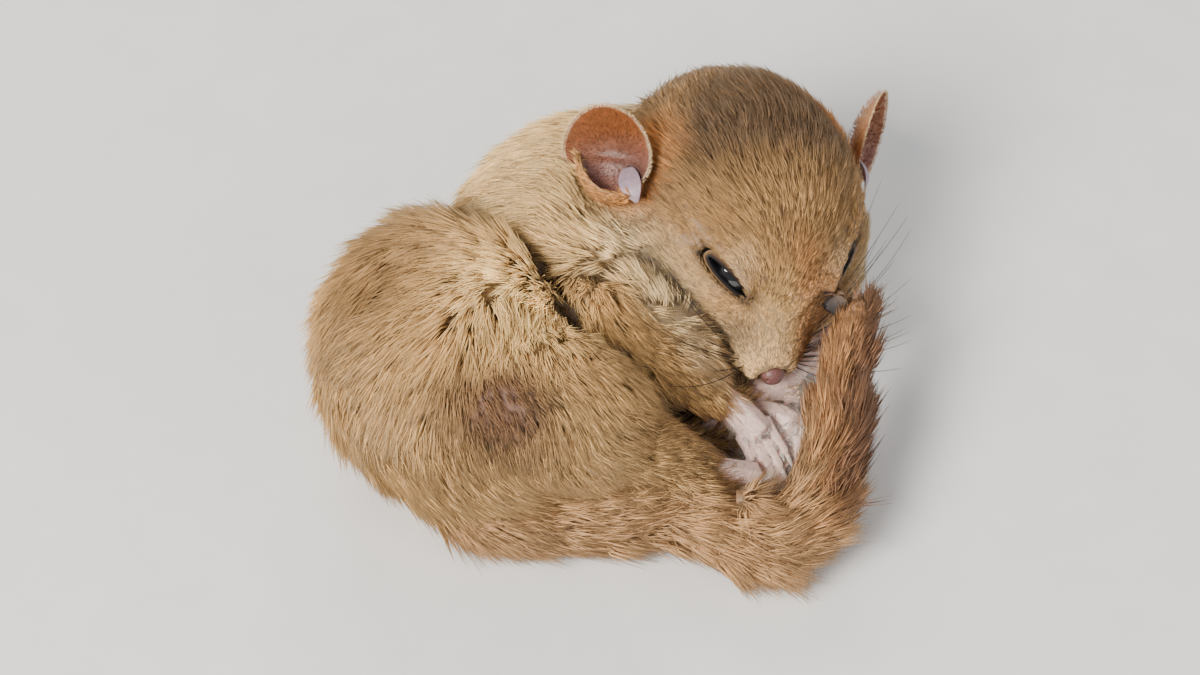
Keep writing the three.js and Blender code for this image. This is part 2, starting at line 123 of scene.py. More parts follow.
# The coat of each body region: how deep its skin lies and how long its hairs are, in
# millimetres, hairs for an area, how far they stand up in degrees, how far the hairs of a
# tuft and the tufts of a lock come together, and their colour

Region = namedtuple("Region", "depth length density lift clump lock colour")
DEPTH, LENGTH, DENSITY, LIFT, CLUMP, LOCK = range(6)
COLOUR = slice(6, 9)

GOLD = (0.54, 0.31, 0.12)
PALE = (0.88, 0.60, 0.27)
HONEY = (0.76, 0.45, 0.17)
BUFF = (0.64, 0.39, 0.155)
TAIL = (0.58, 0.33, 0.145)
WHITE = (0.93, 0.86, 0.80)

REGIONS = {
    "head": Region(0.75, 2.6, 1.9, 16, 0.3, 0.1, GOLD),
    "neck": Region(1.2, 3.6, 1.25, 18, 0.45, 0.2, PALE),
    "chest": Region(1.1, 3.2, 0.8, 20, 0.45, 0.2, PALE),
    "rump": Region(1.6, 4.0, 1.3, 27, 0.55, 0.5, BUFF),
    "thigh_right": Region(1.0, 3.0, 1.3, 22, 0.5, 0.3, BUFF),
    "thigh_left": Region(1.0, 3.0, 0.6, 22, 0.5, 0.3, BUFF),
    "shank_right": Region(0.8, 2.6, 1.2, 20, 0.5, 0.3, BUFF),
    "arm_right": Region(0.9, 3.0, 1.3, 18, 0.45, 0.2, HONEY),
    "arm_left": Region(0.8, 2.4, 0.8, 20, 0.45, 0.2, HONEY),
    "hand_right": Region(0.2, 1.0, 1.2, 26, 0.3, 0.0, WHITE),
    "hand_left": Region(0.2, 1.0, 1.2, 26, 0.3, 0.0, WHITE),
    "foot_right": Region(0.2, 1.0, 1.2, 26, 0.3, 0.0, WHITE),
    "foot_left": Region(0.2, 1.0, 1.2, 26, 0.3, 0.0, WHITE),
    "tail_1": Region(1.6, 4.2, 1.2, 24, 0.5, 0.3, TAIL),
    "tail_2": Region(1.7, 4.6, 1.2, 24, 0.5, 0.3, TAIL),
    "tail_3": Region(1.7, 4.8, 1.3, 25, 0.5, 0.3, TAIL),
    "tail_4": Region(1.6, 4.4, 1.5, 25, 0.5, 0.3, TAIL),
    "tail_5": Region(1.2, 3.6, 1.7, 17, 0.5, 0.3, TAIL),
}
PAW_NODES = ("hand_right", "hand_left", "foot_right", "foot_left")
FRONT_HALF = ("head", "neck", "chest", "arm_right", "arm_left", "hand_right", "hand_left")
COAT_PIECES = {
    "coat_head": ("head",),
    "coat_neck": ("neck", "chest"),
    "coat_rump": ("rump",),
    "coat_legs": ("thigh_right", "thigh_left", "shank_right", "arm_right", "arm_left"),
    "coat_paws": PAW_NODES,
    "coat_tail": ("tail_1", "tail_2", "tail_3", "tail_4", "tail_5"),
}
MOST_HAIRS = 33000  # of one coat piece: a fuller region is shared between two or more

# Balls of folded flesh that close the hollows between the belly, the paws, the chin and the
# cheek: each has its middle and its radius in millimetres

FOLDS = (((11.2, 0.9, 1.6), 2.9), ((17.2, 4.0, 2.4), 2.0), ((21.3, 10.6, 8.4), 2.0))

# Lines along which the hair lies, each from where its hair starts to where it points

LIE = (
    ((16.0, 1.0, 6.9), (12.7, 15.5, 14.2), (9.6, 29.0, 21.0)),
    ((10.0, 26.0, 15.0), (2.0, 24.0, 14.5), (-6.0, 20.0, 14.0), (-13.0, 14.0, 14.0)),
    ((8.0, 3.0, 19.0), (2.0, 6.0, 22.0), (-4.0, 8.5, 23.0), (-10.0, 9.0, 21.0)),
    ((-13.0, 14.0, 14.0), (-21.0, 8.0, 14.0), (-26.0, -1.0, 12.5), (-21.0, -9.0, 9.0)),
    (
        (-4.0, 5.0, 20.0), (-11.0, 1.0, 24.5), (-18.0, -4.0, 24.0),
        (-24.0, -8.0, 17.0), (-24.0, -10.0, 9.0),
    ),
    ((-8.0, -2.0, 23.0), (-7.0, -9.0, 22.0), (-3.0, -13.0, 16.0), (2.0, -12.0, 10.0), (8.6, -8.0, 7.4)),
    ((-4.0, 5.0, 17.0), (2.0, 1.6, 14.0), (9.4, 0.6, 8.6), (14.0, -2.0, 5.4)),
    ((14.0, 6.0, 5.0), (6.0, 4.0, 2.0), (-4.0, -2.0, 1.5), (-12.0, -2.0, 1.5)),
    ((8.6, 0.2, 2.4), (19.2, 7.8, 3.6), (23.6, 12.0, 6.4)),
)
TAIL_PATH = (
    (-15.0, -6.0, 6.0),
    (-11.5, -9.2, 4.6),
    (-6.5, -10.8, 3.8),
    (-1.0, -10.4, 3.7),
    (4.5, -9.4, 3.7),
    (9.5, -10.8, 3.7),
    (14.4, -13.2, 4.0),
    (18.6, -11.6, 5.6),
    (20.6, -6.8, 7.8),
    (21.7, -1.6, 9.8),
    (22.9, 3.4, 11.4),
    (24.0, 8.0, 12.6),
)

# Toes, from the same places as the solids

Paw = namedtuple("Paw", "knuckles tip spread toes radius")

PAWS = {
    "hand_right": Paw((13.8, -1.6, 5.8), (15.8, -4.6, 3.4), (2.6, 1.8, 0.6), 4, 0.6),
    "hand_left": Paw((16.8, 0.2, 4.2), (18.0, -3.2, 3.0), (2.4, 1.4, 0.8), 4, 0.6),
    "foot_right": Paw((13.6, -6.0, 3.6), (17.0, -5.2, 1.8), (-1.2, 3.4, 1.0), 5, 0.65),
    "foot_left": Paw((19.2, 7.8, 3.6), (23.6, 12.0, 6.4), (-2.2, 2.4, 1.4), 5, 0.65),
}


class DormouseSettings(bpy.types.PropertyGroup):
    voxel: FloatProperty(
        name="Skin grain", description="Grid size of the skin", default=0.34 * MM, unit="LENGTH"
    )
    hairs: IntProperty(name="Hairs", description="Hairs of the whole coat", default=236000)
    tuft: IntProperty(name="Tuft", description="Hairs of one tuft", default=8)
    tuft_spread: FloatProperty(
        name="Tuft spread", description="Root radius of a tuft", default=0.4 * MM, unit="LENGTH"
    )
    hair_width: FloatProperty(
        name="Hair width", description="Of a long hair at its thickest", default=0.125 * MM, unit="LENGTH"
    )
    seed: IntProperty(name="Seed", description="Of every random draw", default=11)
    under_coat: FloatVectorProperty(
        name="Under coat", description="Dark wool at the roots",
        default=(0.10, 0.062, 0.042), subtype="COLOR",
    )
    whisker_dark: FloatVectorProperty(
        name="Dark whiskers", description="Colour", default=(0.02, 0.015, 0.012), subtype="COLOR"
    )
    whisker_pale: FloatVectorProperty(
        name="Pale whiskers", description="Colour", default=(0.75, 0.70, 0.62), subtype="COLOR"
    )
    eye_black: FloatVectorProperty(
        name="Eye", description="Colour", default=(0.004, 0.004, 0.005), subtype="COLOR"
    )
    claw: FloatVectorProperty(
        name="Claws", description="Colour", default=(0.62, 0.50, 0.42), subtype="COLOR"
    )
    floor: FloatVectorProperty(
        name="Floor", description="Colour", default=(0.80, 0.79, 0.77), subtype="COLOR"
    )


# Mesh helpers


def new_object(name, mesh, material):
    mesh.materials.append(material)
    piece = bpy.data.objects.new(name, mesh)
    bpy.context.scene.collection.objects.link(piece)
    return piece


def mesh_of(name, points, triangles, smooth=True):
    mesh = bpy.data.meshes.new(name)
    mesh.vertices.add(len(points))
    mesh.vertices.foreach_set("co", np.asarray(points, np.float32).ravel())
    mesh.loops.add(len(triangles) * 3)
    mesh.loops.foreach_set("vertex_index", np.asarray(triangles, np.int32).ravel())
    mesh.polygons.add(len(triangles))
    mesh.polygons.foreach_set("loop_start", np.arange(len(triangles), dtype=np.int32) * 3)
    mesh.polygons.foreach_set("use_smooth", np.full(len(triangles), smooth))
    mesh.update(calc_edges=True)
    return mesh


def read(items, key, width, kind=np.float32):
    values = np.empty(len(items) * width, kind)
    items.foreach_get(key, values)
    return values.reshape(-1, width)


def set_attribute(mesh, name, values):
    kind, key = ("FLOAT_COLOR", "color") if values.ndim == 2 else ("FLOAT", "value")
    if kind == "FLOAT_COLOR":
        values = np.column_stack([values, np.ones(len(values))])
    attribute = mesh.attributes.new(name, kind, "POINT")
    attribute.data.foreach_set(key, np.asarray(values, np.float32).ravel())


def smoothed(values, edges, rounds, share=0.5):
    """Values of vertices, each drawn towards the mean of its neighbours."""
    first, second = edges.T
    count = len(values)
    degree = np.maximum(np.bincount(edges.ravel(), minlength=count), 1)[:, None]
    values = values.astype(float)
    for _ in range(rounds):
        total = np.column_stack([
            np.bincount(first, column[second], count) + np.bincount(second, column[first], count)
            for column in values.T
        ])
        values += share * (total / degree - values)
    return values


def move_vertices(mesh, points):
    mesh.vertices.foreach_set("co", points.astype(np.float32).ravel())
    mesh.update()


def shade_smooth(mesh):
    mesh.polygons.foreach_set("use_smooth", np.ones(len(mesh.polygons), bool))


def ring_faces(rows, around, first=0):
    """Triangles between rings of points, each ring after the one before it."""
    faces = []
    for row in range(rows):
        for turn in range(around):
            a, b = (first + row * around + place % around for place in (turn, turn + 1))
            faces += [(a, a + around, b + around), (a, b + around, b)]
    return faces


def turned_over(faces):
    return [(p, r, q) for p, q, r in faces]


def unit(vectors):
    return vectors / np.maximum(np.linalg.norm(vectors, axis=-1, keepdims=True), 1e-12)


def step(values, start, end):
    """0 below start, 1 above end, and smooth between."""
    t = np.clip((values - start) / (end - start), 0, 1)
    return t * t * (3 - 2 * t)


def blend(a, b, t):
    return a + (b - a) * t


def tapered_tubes(paths, radii, sides):
    """Closed tubes with pointed ends: paths is (tubes, points, 3), radii (tubes, points - 1)."""
    count, length, _ = paths.shape
    along = unit(np.gradient(paths, axis=1))
    across = unit(np.cross(along, along[:, :1] * 0.3 + np.array([0.31, 0.57, 0.76])))
    over = np.cross(along, across)
    angles = np.arange(sides) * 2 * math.pi / sides
    ring = np.cos(angles)[:, None] * across[:, :, None] + np.sin(angles)[:, None] * over[:, :, None]
    body = paths[:, :-1, None] + ring[:, :-1] * radii[:, :, None, None]
    points = np.concatenate([body.reshape(count, -1, 3), paths[:, -1:]], axis=1)
    faces = turned_over(ring_faces(length - 2, sides))
    last, tip = (length - 2) * sides, (length - 1) * sides
    faces += [(last + side, last + (side + 1) % sides, tip) for side in range(sides)]
    faces += [(0, side + 1, side) for side in range(1, sides - 1)]
    triangles = np.array(faces)[None] + (np.arange(count) * points.shape[1])[:, None, None]
    return points.reshape(-1, 3), triangles.reshape(-1, 3)


def spindles(root, middle, tip, radius):
    """Closed three-sided hairs, widest at the middle and pointed at both ends."""
    along = unit(tip - root)
    across = unit(np.cross(along, np.roll(along, 1, axis=1) + np.array([0.31, 0.57, 0.76])))
    over = np.cross(along, across)
    angles = np.arange(3)[:, None] * 2 * math.pi / 3
    ring = across[:, None] * np.cos(angles) + over[:, None] * np.sin(angles)
    body = middle[:, None] + ring * radius[:, None, None]
    points = np.concatenate([root[:, None], body, tip[:, None]], axis=1)
    faces = np.array([(0, 2, 1), (0, 3, 2), (0, 1, 3), (4, 1, 2), (4, 2, 3), (4, 3, 1)])
    triangles = faces[None] + (np.arange(len(root)) * 5)[:, None, None]
    return points.reshape(-1, 3), triangles.reshape(-1, 3)


# Materials


def new_material(name, colour, roughness, **sockets):
    """A shader with these socket values, its node tree and that shader."""
    material = bpy.data.materials.new(name)
    material.use_nodes = True
    tree = material.node_tree
    shader = tree.nodes["Principled BSDF"]
    shader.inputs["Base Color"].default_value = (*colour, 1)
    shader.inputs["Roughness"].default_value = roughness
    for key, value in sockets.items():
        shader.inputs[key.replace("_", " ")].default_value = value
    return material, tree, shader


def add_bump(tree, shader, scale, strength, distance, stretch=(1, 1, 1)):
    where = tree.nodes.new("ShaderNodeTexCoord")
    mapping = tree.nodes.new("ShaderNodeMapping")
    noise = tree.nodes.new("ShaderNodeTexNoise")
    bump = tree.nodes.new("ShaderNodeBump")
    mapping.inputs["Scale"].default_value = stretch
    noise.inputs["Scale"].default_value = scale
    noise.inputs["Detail"].default_value = 6
    bump.inputs["Strength"].default_value = strength
    bump.inputs["Distance"].default_value = distance
    tree.links.new(where.outputs["Object"], mapping.inputs["Vector"])
    tree.links.new(mapping.outputs["Vector"], noise.inputs["Vector"])
    tree.links.new(noise.outputs["Fac"], bump.inputs["Height"])
    tree.links.new(bump.outputs["Normal"], shader.inputs["Normal"])
    return noise


def tint(tree, shader, noise, colour_socket, dark, light):
    """The colour is multiplied by a grey that the noise moves between dark and light."""
    ramp = tree.nodes.new("ShaderNodeMapRange")
    ramp.inputs["From Min"].default_value = 0.3
    ramp.inputs["From Max"].default_value = 0.7
    ramp.inputs["To Min"].default_value = dark
    ramp.inputs["To Max"].default_value = light
    scale = tree.nodes.new("ShaderNodeVectorMath")
    scale.operation = "SCALE"
    tree.links.new(noise.outputs["Fac"], ramp.inputs["Value"])
    tree.links.new(colour_socket, scale.inputs[0])
    tree.links.new(ramp.outputs["Result"], scale.inputs["Scale"])
    tree.links.new(scale.outputs["Vector"], shader.inputs["Base Color"])


def grained_material(name, colour, roughness, bump, shades, stretch=(1, 1, 1), **sockets):
    """One colour with a bumpy grain that also makes it darker and lighter."""
    material = bpy.data.materials.get(name)
    if material is None:
        material, tree, shader = new_material(name, colour, roughness, **sockets)
        source = tree.nodes.new("ShaderNodeRGB")
        source.outputs[0].default_value = (*colour, 1)
        noise = add_bump(tree, shader, *bump, stretch=stretch)
        tint(tree, shader, noise, source.outputs[0], *shades)
    return material


def painted_material(name, roughness, bump, shades=(0.8, 1.15), **sockets):
    """Takes its colour from the mesh's own colour attribute, with a fine grain."""
    material = bpy.data.materials.get(name)
    if material is None:
        material, tree, shader = new_material(name, (0.5, 0.4, 0.3), roughness, **sockets)
        colour = tree.nodes.new("ShaderNodeAttribute")
        colour.attribute_name = "coat"
        noise = add_bump(tree, shader, *bump)
        tint(tree, shader, noise, colour.outputs["Color"], *shades)
    return material


# Skin


def fused_flesh(nodes, fuse, voxel, folds=()):
    """The nodes' solids, swollen until they meet, as one closed mesh."""
    joined = bmesh.new()
    for node in nodes:
        joined.from_mesh(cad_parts[node].data)
    bmesh.ops.remove_doubles(joined, verts=joined.verts, dist=0.002 * MM)
    joined.normal_update()
    for vertex in joined.verts:
        vertex.co += vertex.normal * fuse
    for place, radius in folds:
        where = Matrix.Translation(placed(*place))
        bmesh.ops.create_icosphere(joined, subdivisions=2, radius=radius * MM, matrix=where)
    mesh = bpy.data.meshes.new("flesh")
    joined.to_mesh(mesh)
    joined.free()
    flesh = bpy.data.objects.new("flesh", mesh)
    bpy.context.scene.collection.objects.link(flesh)
    remesh = flesh.modifiers.new("one surface", "REMESH")
    remesh.mode = "VOXEL"
    remesh.voxel_size = voxel
    seen = flesh.evaluated_get(bpy.context.evaluated_depsgraph_get())
    skin = bpy.data.meshes.new_from_object(seen)
    bpy.data.objects.remove(flesh)
    return skin


def nearest_region(points):
    """The index in REGIONS of the node whose surface lies nearest to each point."""
    corners, faces, owner = [], [], []
    for index, node in enumerate(REGIONS):
        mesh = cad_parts[node].data
        faces += [[len(corners) + corner for corner in face.vertices] for face in mesh.polygons]
        corners += [vertex.co for vertex in mesh.vertices]
        owner += [index] * len(mesh.polygons)
    tree = BVHTree.FromPolygons(corners, faces)
    return np.array([owner[tree.find_nearest(Vector(point))[2]] for point in points])


SLIT_SEEN = 3.5  # no skin further out or in than this belongs to a slit
SLIT_FAR = 99.0


def slit_gap(points, side):
    """Millimetres from the edge of an eye's slit, less than 0 inside it, and the height over it."""
    centre = on_head(EYE_CENTRE + EYE_OUT * (EYE_RADIUS + EYE_SUNK), side)
    off = (points - np.array(centre)) / MM
    along = off @ np.array(head_way(SLIT_WAY, side))
    over = off @ np.array(head_way(LID_UP, side))
    far = np.abs(off @ np.array(head_way(EYE_OUT, side))) > SLIT_SEEN
    reach = np.hypot(along / SLIT_HALF[0], over / SLIT_HALF[1])
    slope = np.hypot(along / SLIT_HALF[0] ** 2, over / SLIT_HALF[1] ** 2)
    gap = (reach - 1) * reach / np.maximum(slope, 1e-6)
    return np.where(far, SLIT_FAR, gap), over


def line_distance(points, line):
    """The distance to a line of points, and the way of the line there."""
    best = np.full(len(points), np.inf)
    way = np.zeros_like(points)
    for start, end in zip(line[:-1], line[1:]):
        run = end - start
        share = np.clip((points - start) @ run / (run @ run), 0, 1)
        gap = np.linalg.norm(points - start - share[:, None] * run, axis=1)
        nearer = gap < best
        best[nearer] = gap[nearer]
        way[nearer] = run / np.linalg.norm(run)
    return best, way


def near(points, place, inner, outer):
    """1 within the inner distance of a place and 0 beyond the outer one."""
    return 1 - step(np.linalg.norm(points - np.array(place), axis=1), inner, outer)


def coat_traits(points, region):
    """Depth, length, density, lift, clump, lock and colour of the coat at each point."""
    table = np.array([(*r[:6], *r.colour) for r in REGIONS.values()])
    traits = table[region]
    ahead = in_head(points)[:, 0]
    head = region == list(REGIONS).index("head")
    face = step(ahead, -3, 9) * head
    muzzle = step(ahead, 9, 13.5) * head
    traits[:, DEPTH] = np.where(head, blend(blend(0.8, 0.42, face), 0.15, muzzle), traits[:, DEPTH])
    traits[:, LENGTH] = np.where(head, blend(blend(2.8, 1.5, face), 0.8, muzzle), traits[:, LENGTH])
    traits[:, DENSITY] *= 1 + 0.9 * face + 0.6 * muzzle
    return traits


def share_of(nodes, region, edges, rounds):
    """1 on the nodes' regions and 0 on the others, with a soft border between."""
    names = list(REGIONS)
    inside = np.isin(region, [names.index(node) for node in nodes]).astype(float)
    return smoothed(inside[:, None], edges, rounds)[:, 0]


def creases(region, edges, body):
    """1 along the two folds of the coat, behind the shoulder and arm and under the cheek, where the coat
    is sunk and its colour darkened with painted shade.
    """
    behind_arm = share_of(FRONT_HALF, region, edges, 12)
    under_cheek = share_of(("head", "neck"), region, edges, 12)
    folds = 4 * behind_arm * (1 - behind_arm), 4 * under_cheek * (1 - under_cheek)
    return np.maximum(folds[0], folds[1] * step(body[:, 0], -4.0, 1.0) * step(-body[:, 1], -15, -12))


THIN_PATCH = (-9.1, -11.4, 21.2)  # on the right thigh


def coat_colours(points, colour):
    """The markings: pale cheeks and throat, orange by the ears and a bare brown thigh; and painted shade:
    the dark shadow of the holding fingers on the crown, the shaded top of the rump and the hollow at the
    ear's foot.
    """
    head = in_head(points)
    head[:, 1] = np.abs(head[:, 1])
    ahead, aside, above = head.T
    on_head_share = 1 - step(np.linalg.norm(head / np.array((1.25, 1.1, 1.1)), axis=1), 12.5, 14.5)
    body = points / MM - np.array(SHIFT / MM)
    past_tail = body[:, 0] - (20.6 + 0.23 * (body[:, 1] + 6.8))
    rising_tail = step(body[:, 2], 5, 7.5) * step(body[:, 0], 17, 18.5) * step(-body[:, 1], -10, -7)
    for mask, marking, share in (
        # crown: painted shadow of the fingers that hold the animal
        (step(above, 5.0, 9.0) * step(-ahead, -2.0, 4.5) * on_head_share, (0.13, 0.072, 0.036), 0.85),
        # between the eyes, and the muzzle
        (near(head, (10.5, 0, 4.5), 2.0, 5.5), (0.90, 0.58, 0.24), 0.85),
        (step(ahead, 8.5, 12.0) * step(-above, -6.0, -2.0) * on_head_share, (0.96, 0.66, 0.33), 0.9),
        # cheek and throat
        (
            step(aside, 5.5, 9.5) * step(-above, -6.5, -2.0) * step(ahead, -3.5, 0) * on_head_share,
            (0.98, 0.74, 0.42), 0.9,
        ),
        (step(-above, 3.0, 6.0) * on_head_share, (0.90, 0.76, 0.56), 0.8),
        # over the eye, and the dark roots of the whiskers
        (near(head, (7.0, 5.6, 8.2), 1.0, 3.2), (0.84, 0.60, 0.34), 0.5),
        (near(head, (11.9, 4.0, 2.2), 0.8, 2.6), (0.13, 0.075, 0.05), 0.6),
        # orange before the ear, and painted shade in the hollow at its foot
        (near(head, (-4.0, 10.8, 2.6), 2.0, 5.4), (0.80, 0.33, 0.08), 0.85),
        (near(head, (-5.6, 9.8, 5.4), 1.5, 4.6), (0.78, 0.33, 0.085), 0.85),
        (near(head, (-2.6, 12.4, 2.2), 0.5, 1.7), (0.03, 0.018, 0.012), 0.9),
        # painted shade on the top of the rump, then the pale flank and the bare place on the thigh
        (near(body, (-18.5, 3.0, 23.5), 3.0, 11.0), (0.30, 0.165, 0.06), 0.85),
        (near(body, (-7.0, -0.5, 22.0), 2.0, 8.0), (0.98, 0.70, 0.30), 0.85),
        (near(body, THIN_PATCH, 2.0, 7.5), (0.155, 0.068, 0.036), 0.85),
        # the end of the tail, with a dark streak along its outer side
        (rising_tail, (0.62, 0.29, 0.105), 0.8),
        (rising_tail * step(past_tail, -0.8, 1.6), (0.19, 0.085, 0.05), 0.8),
    ):
        colour = blend(colour, np.array(marking), (mask * share)[:, None])
    return colour


Skin = namedtuple("Skin", "points normals triangles region traits")


def thin_out(traits, where, length, density, colour):
    """Hair shorter, sparser and darker by these shares, where the mask is 1."""
    traits[:, LENGTH] *= 1 - length * where
    traits[:, DENSITY] *= 1 - density * where
    traits[:, COLOUR] *= (1 - colour * where)[:, None]


def nearest_slit(points):
    """The gap to the nearer eye's slit, and the height over it."""
    (gap_left, over_left), (gap_right, over_right) = (slit_gap(points, side) for side in (1, -1))
    return np.minimum(gap_left, gap_right), np.where(gap_left < gap_right, over_left, over_right)


def skin_depth(points, traits, slit, over, pressed):
    """Millimetres below the tips of the coat, with the eyes' hollows, their lids and the mouth."""
    depth = blend(traits[:, DEPTH], 0.1, 1 - step(slit, 0.8, 3.0)) + 1.1 * pressed
    depth += 1.5 * (1 - step(slit, 0.25, 0.5))
    depth -= 0.42 * np.exp(-(((slit - 1.15) / 0.6) ** 2)) * step(over, 0.3, 1.0)
    gap, _ = line_distance(points, np.array([on_head(Vector(place)) for place in MOUTH]))
    return depth + 0.7 * (1 - step(gap / MM, 0.2, 0.8))


def skin_colours(traits, wool, thin, bare, slit):
    """Dark wool under the hair, brown where it is thin, pink on the paws and black by the eyes."""
    shown = np.array(wool) * 0.6 + traits[:, COLOUR] * 0.35
    for colour, share in (
        ((0.21, 0.095, 0.06), thin * 0.7),
        ((0.80, 0.55, 0.48), bare),
        ((0.02, 0.015, 0.015), 1 - step(slit, 0.35, 0.8)),
    ):
        shown = blend(shown, np.array(colour), share[:, None])
    return shown


def build_skin(settings):
    fuse = 0.42 * MM
    mesh = fused_flesh(REGIONS, fuse, settings.voxel, FOLDS)
    edges = read(mesh.edges, "vertices", 2, np.int32)
    points = smoothed(read(mesh.vertices, "co", 3), edges, 5)
    move_vertices(mesh, points)
    region = nearest_region(points)
    traits = coat_traits(points, region)
    traits[:, COLOUR] = coat_colours(points, traits[:, COLOUR])
    traits = smoothed(traits, edges, 10)
    head = in_head(points)
    head[:, 1] = np.abs(head[:, 1])
    body = points / MM - np.array(SHIFT / MM)
    fold_and_shade = creases(region, edges, body) ** 1.5
    parting = near(body, (-17.0, -2.5, 24.0), 3.0, 9.0) * step(waves(points, 4.5 * MM, 21), 0.45, 0.9)
    thin = near(body, THIN_PATCH, 1.5, 6.0)
    by_ear = near(head, (-3.2, 12.6, 1.8), 2.5, 6.0)
    # In the folds the hair is shorter and sparser, and its colour darkened with painted shade
    thin_out(traits, fold_and_shade, 0.5, 0.8, 0.8)
    thin_out(traits, parting, 0.4, 0.7, 0.55)
    thin_out(traits, thin, 0.3, 0.35, 0.0)
    thin_out(traits, by_ear, 0.6, 0.0, 0.0)
    slit, over = nearest_slit(points)
    depth = skin_depth(points, traits, slit, over, fold_and_shade + by_ear)
    traits[:, LENGTH] = blend(traits[:, LENGTH], 0.7, 1 - step(slit, 0.8, 3.0))
    normals = read(mesh.vertex_normals, "vector", 3)
    points = smoothed(points - normals * (fuse / MM + depth)[:, None] * MM, edges, 2)
    points[:, 2] = np.maximum(points[:, 2], 0.05 * MM)
    move_vertices(mesh, points)
    mesh.calc_loop_triangles()
    normals = read(mesh.vertex_normals, "vector", 3)
    triangles = read(mesh.loop_triangles, "vertices", 3, np.int32)
    bare = share_of(PAW_NODES, region, edges, 4)
    set_attribute(mesh, "coat", skin_colours(traits, settings.under_coat, thin, bare, slit))
    shade_smooth(mesh)
    material = painted_material(
        "fused skin", 0.6, (2600, 0.35, 0.12 * MM), Subsurface_Weight=0.1, Subsurface_Scale=0.4 * MM
    )
    piece = new_object("skin", mesh, material)
    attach(piece, "root")
    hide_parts(*REGIONS)
    traits[:, DENSITY] *= step(slit, 0.4, 0.6)
    traits[:, COLOUR] *= blend(0.4, 1.0, step(slit, 0.45, 1.1))[:, None]
    return Skin(points, normals, triangles, region, traits)


# Coat


def lie_of_coat(points):
    """The way that the hair points at each root, before it is laid on the skin."""
    lines = [np.array([placed(*place) for place in line]) for line in (*LIE, TAIL_PATH)]
    total = np.zeros_like(points)
    for line in lines:
        gap, way = line_distance(points, line)
        total += way / (gap[:, None] / MM + 0.5) ** 5
    return unit(total)


def waves(points, size, seed):
    """A smooth field from -1 to 1 with hills about this far apart, in metres."""
    draw = np.random.default_rng(seed)
    total = np.zeros(len(points))
    for _ in range(6):
        way = unit(draw.normal(size=3)) * draw.uniform(0.7, 1.6) * 2 * math.pi / size
        total += np.sin(points @ way + draw.uniform(0, 2 * math.pi))
    return total / 3


def unwrap(points, region):
    """Each region's round form unrolled into its own cell of the map, with equal areas."""
    cells = math.ceil(math.sqrt(len(REGIONS)))
    place = np.zeros((len(points), 2))
    for index, node in enumerate(REGIONS):
        own = region == index
        way = unit(points[own] - np.array(middle_of(node)))
        turn = np.arctan2(way[:, 1], way[:, 0]) / (2 * math.pi) + 0.5
        height = way[:, 2] / 2 + 0.5
        local = np.column_stack([turn, height]) * 0.94 + 0.03
        place[own] = (local + np.array([index % cells, index // cells])) / cells
    return place


def grow_coat(skin, settings):
    """Tufts of tapered hairs, one coat piece for each part of the body."""
    draw = np.random.default_rng(settings.seed)
    corners = skin.points[skin.triangles]
    sides = corners[:, 1:] - corners[:, :1]
    area = np.linalg.norm(np.cross(sides[:, 0], sides[:, 1]), axis=1)
    density = skin.traits[:, DENSITY][skin.triangles].mean(1)
    facing_floor = skin.normals[:, 2][skin.triangles].mean(1) < -0.6
    hair_left_there = 0.45
    weight = area * density * np.where(facing_floor, hair_left_there, 1)
    tufts = settings.hairs // settings.tuft
    face = draw.choice(len(weight), tufts, p=weight / weight.sum())
    share = draw.dirichlet((1, 1, 1), tufts)
    ends = skin.triangles[face]
    root = (skin.points[ends] * share[:, :, None]).sum(1)
    normal = unit((skin.normals[ends] * share[:, :, None]).sum(1))
    traits = (skin.traits[ends] * share[:, :, None]).sum(1)
    region = skin.region[ends[:, 0]]
    patch = unwrap(root, region)
    lock = to_lock_centres(root, draw)
    for name, nodes in COAT_PIECES.items():
        mine = np.flatnonzero(np.isin(region, [list(REGIONS).index(node) for node in nodes]))
        parts = math.ceil(len(mine) * settings.tuft / MOST_HAIRS)
        for number in range(parts):
            part = mine[number::parts]
            title = name if parts == 1 else f"{name}_{number + 1}"
            tufts = Tufts(root[part], normal[part], traits[part], patch[part], lock[part])
            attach(hair_piece(title, tufts, settings, draw), "root")


Tufts = namedtuple("Tufts", "root normal traits patch lock")


def to_lock_centres(roots, draw):
    """From each tuft to the middle of the lock of hair that it belongs to."""
    tufts_to_a_lock = 9
    centres = roots[draw.choice(len(roots), len(roots) // tufts_to_a_lock, replace=False)]
    tree = KDTree(len(centres))
    for index, centre in enumerate(centres):
        tree.insert(centre, index)
    tree.balance()
    return np.array([tree.find(root)[0] for root in roots]) - roots


# How far the coat departs from an even nap: angles in radians, sizes of waves in millimetres

SWIRL, SWIRL_WAVE, SWIRL_SIZE = 0.10, 0.22, 9
TUFT_LIFT, HAIR_LIFT, LIFT_WAVE, LIFT_SIZE = math.radians(3), math.radians(5), 0.3, 6
HAIR_TURN = 0.11
ROOT_RISE, TIP_RISE = 1.5, 0.5  # shares of a hair's lift: it rises steeply and then lies down
MIDDLE_AT = 0.42  # of a hair's length
ROOTED = 0.12 * MM
DUSKY_HAIRS, DUSKY_TONE = 0.09, 0.5


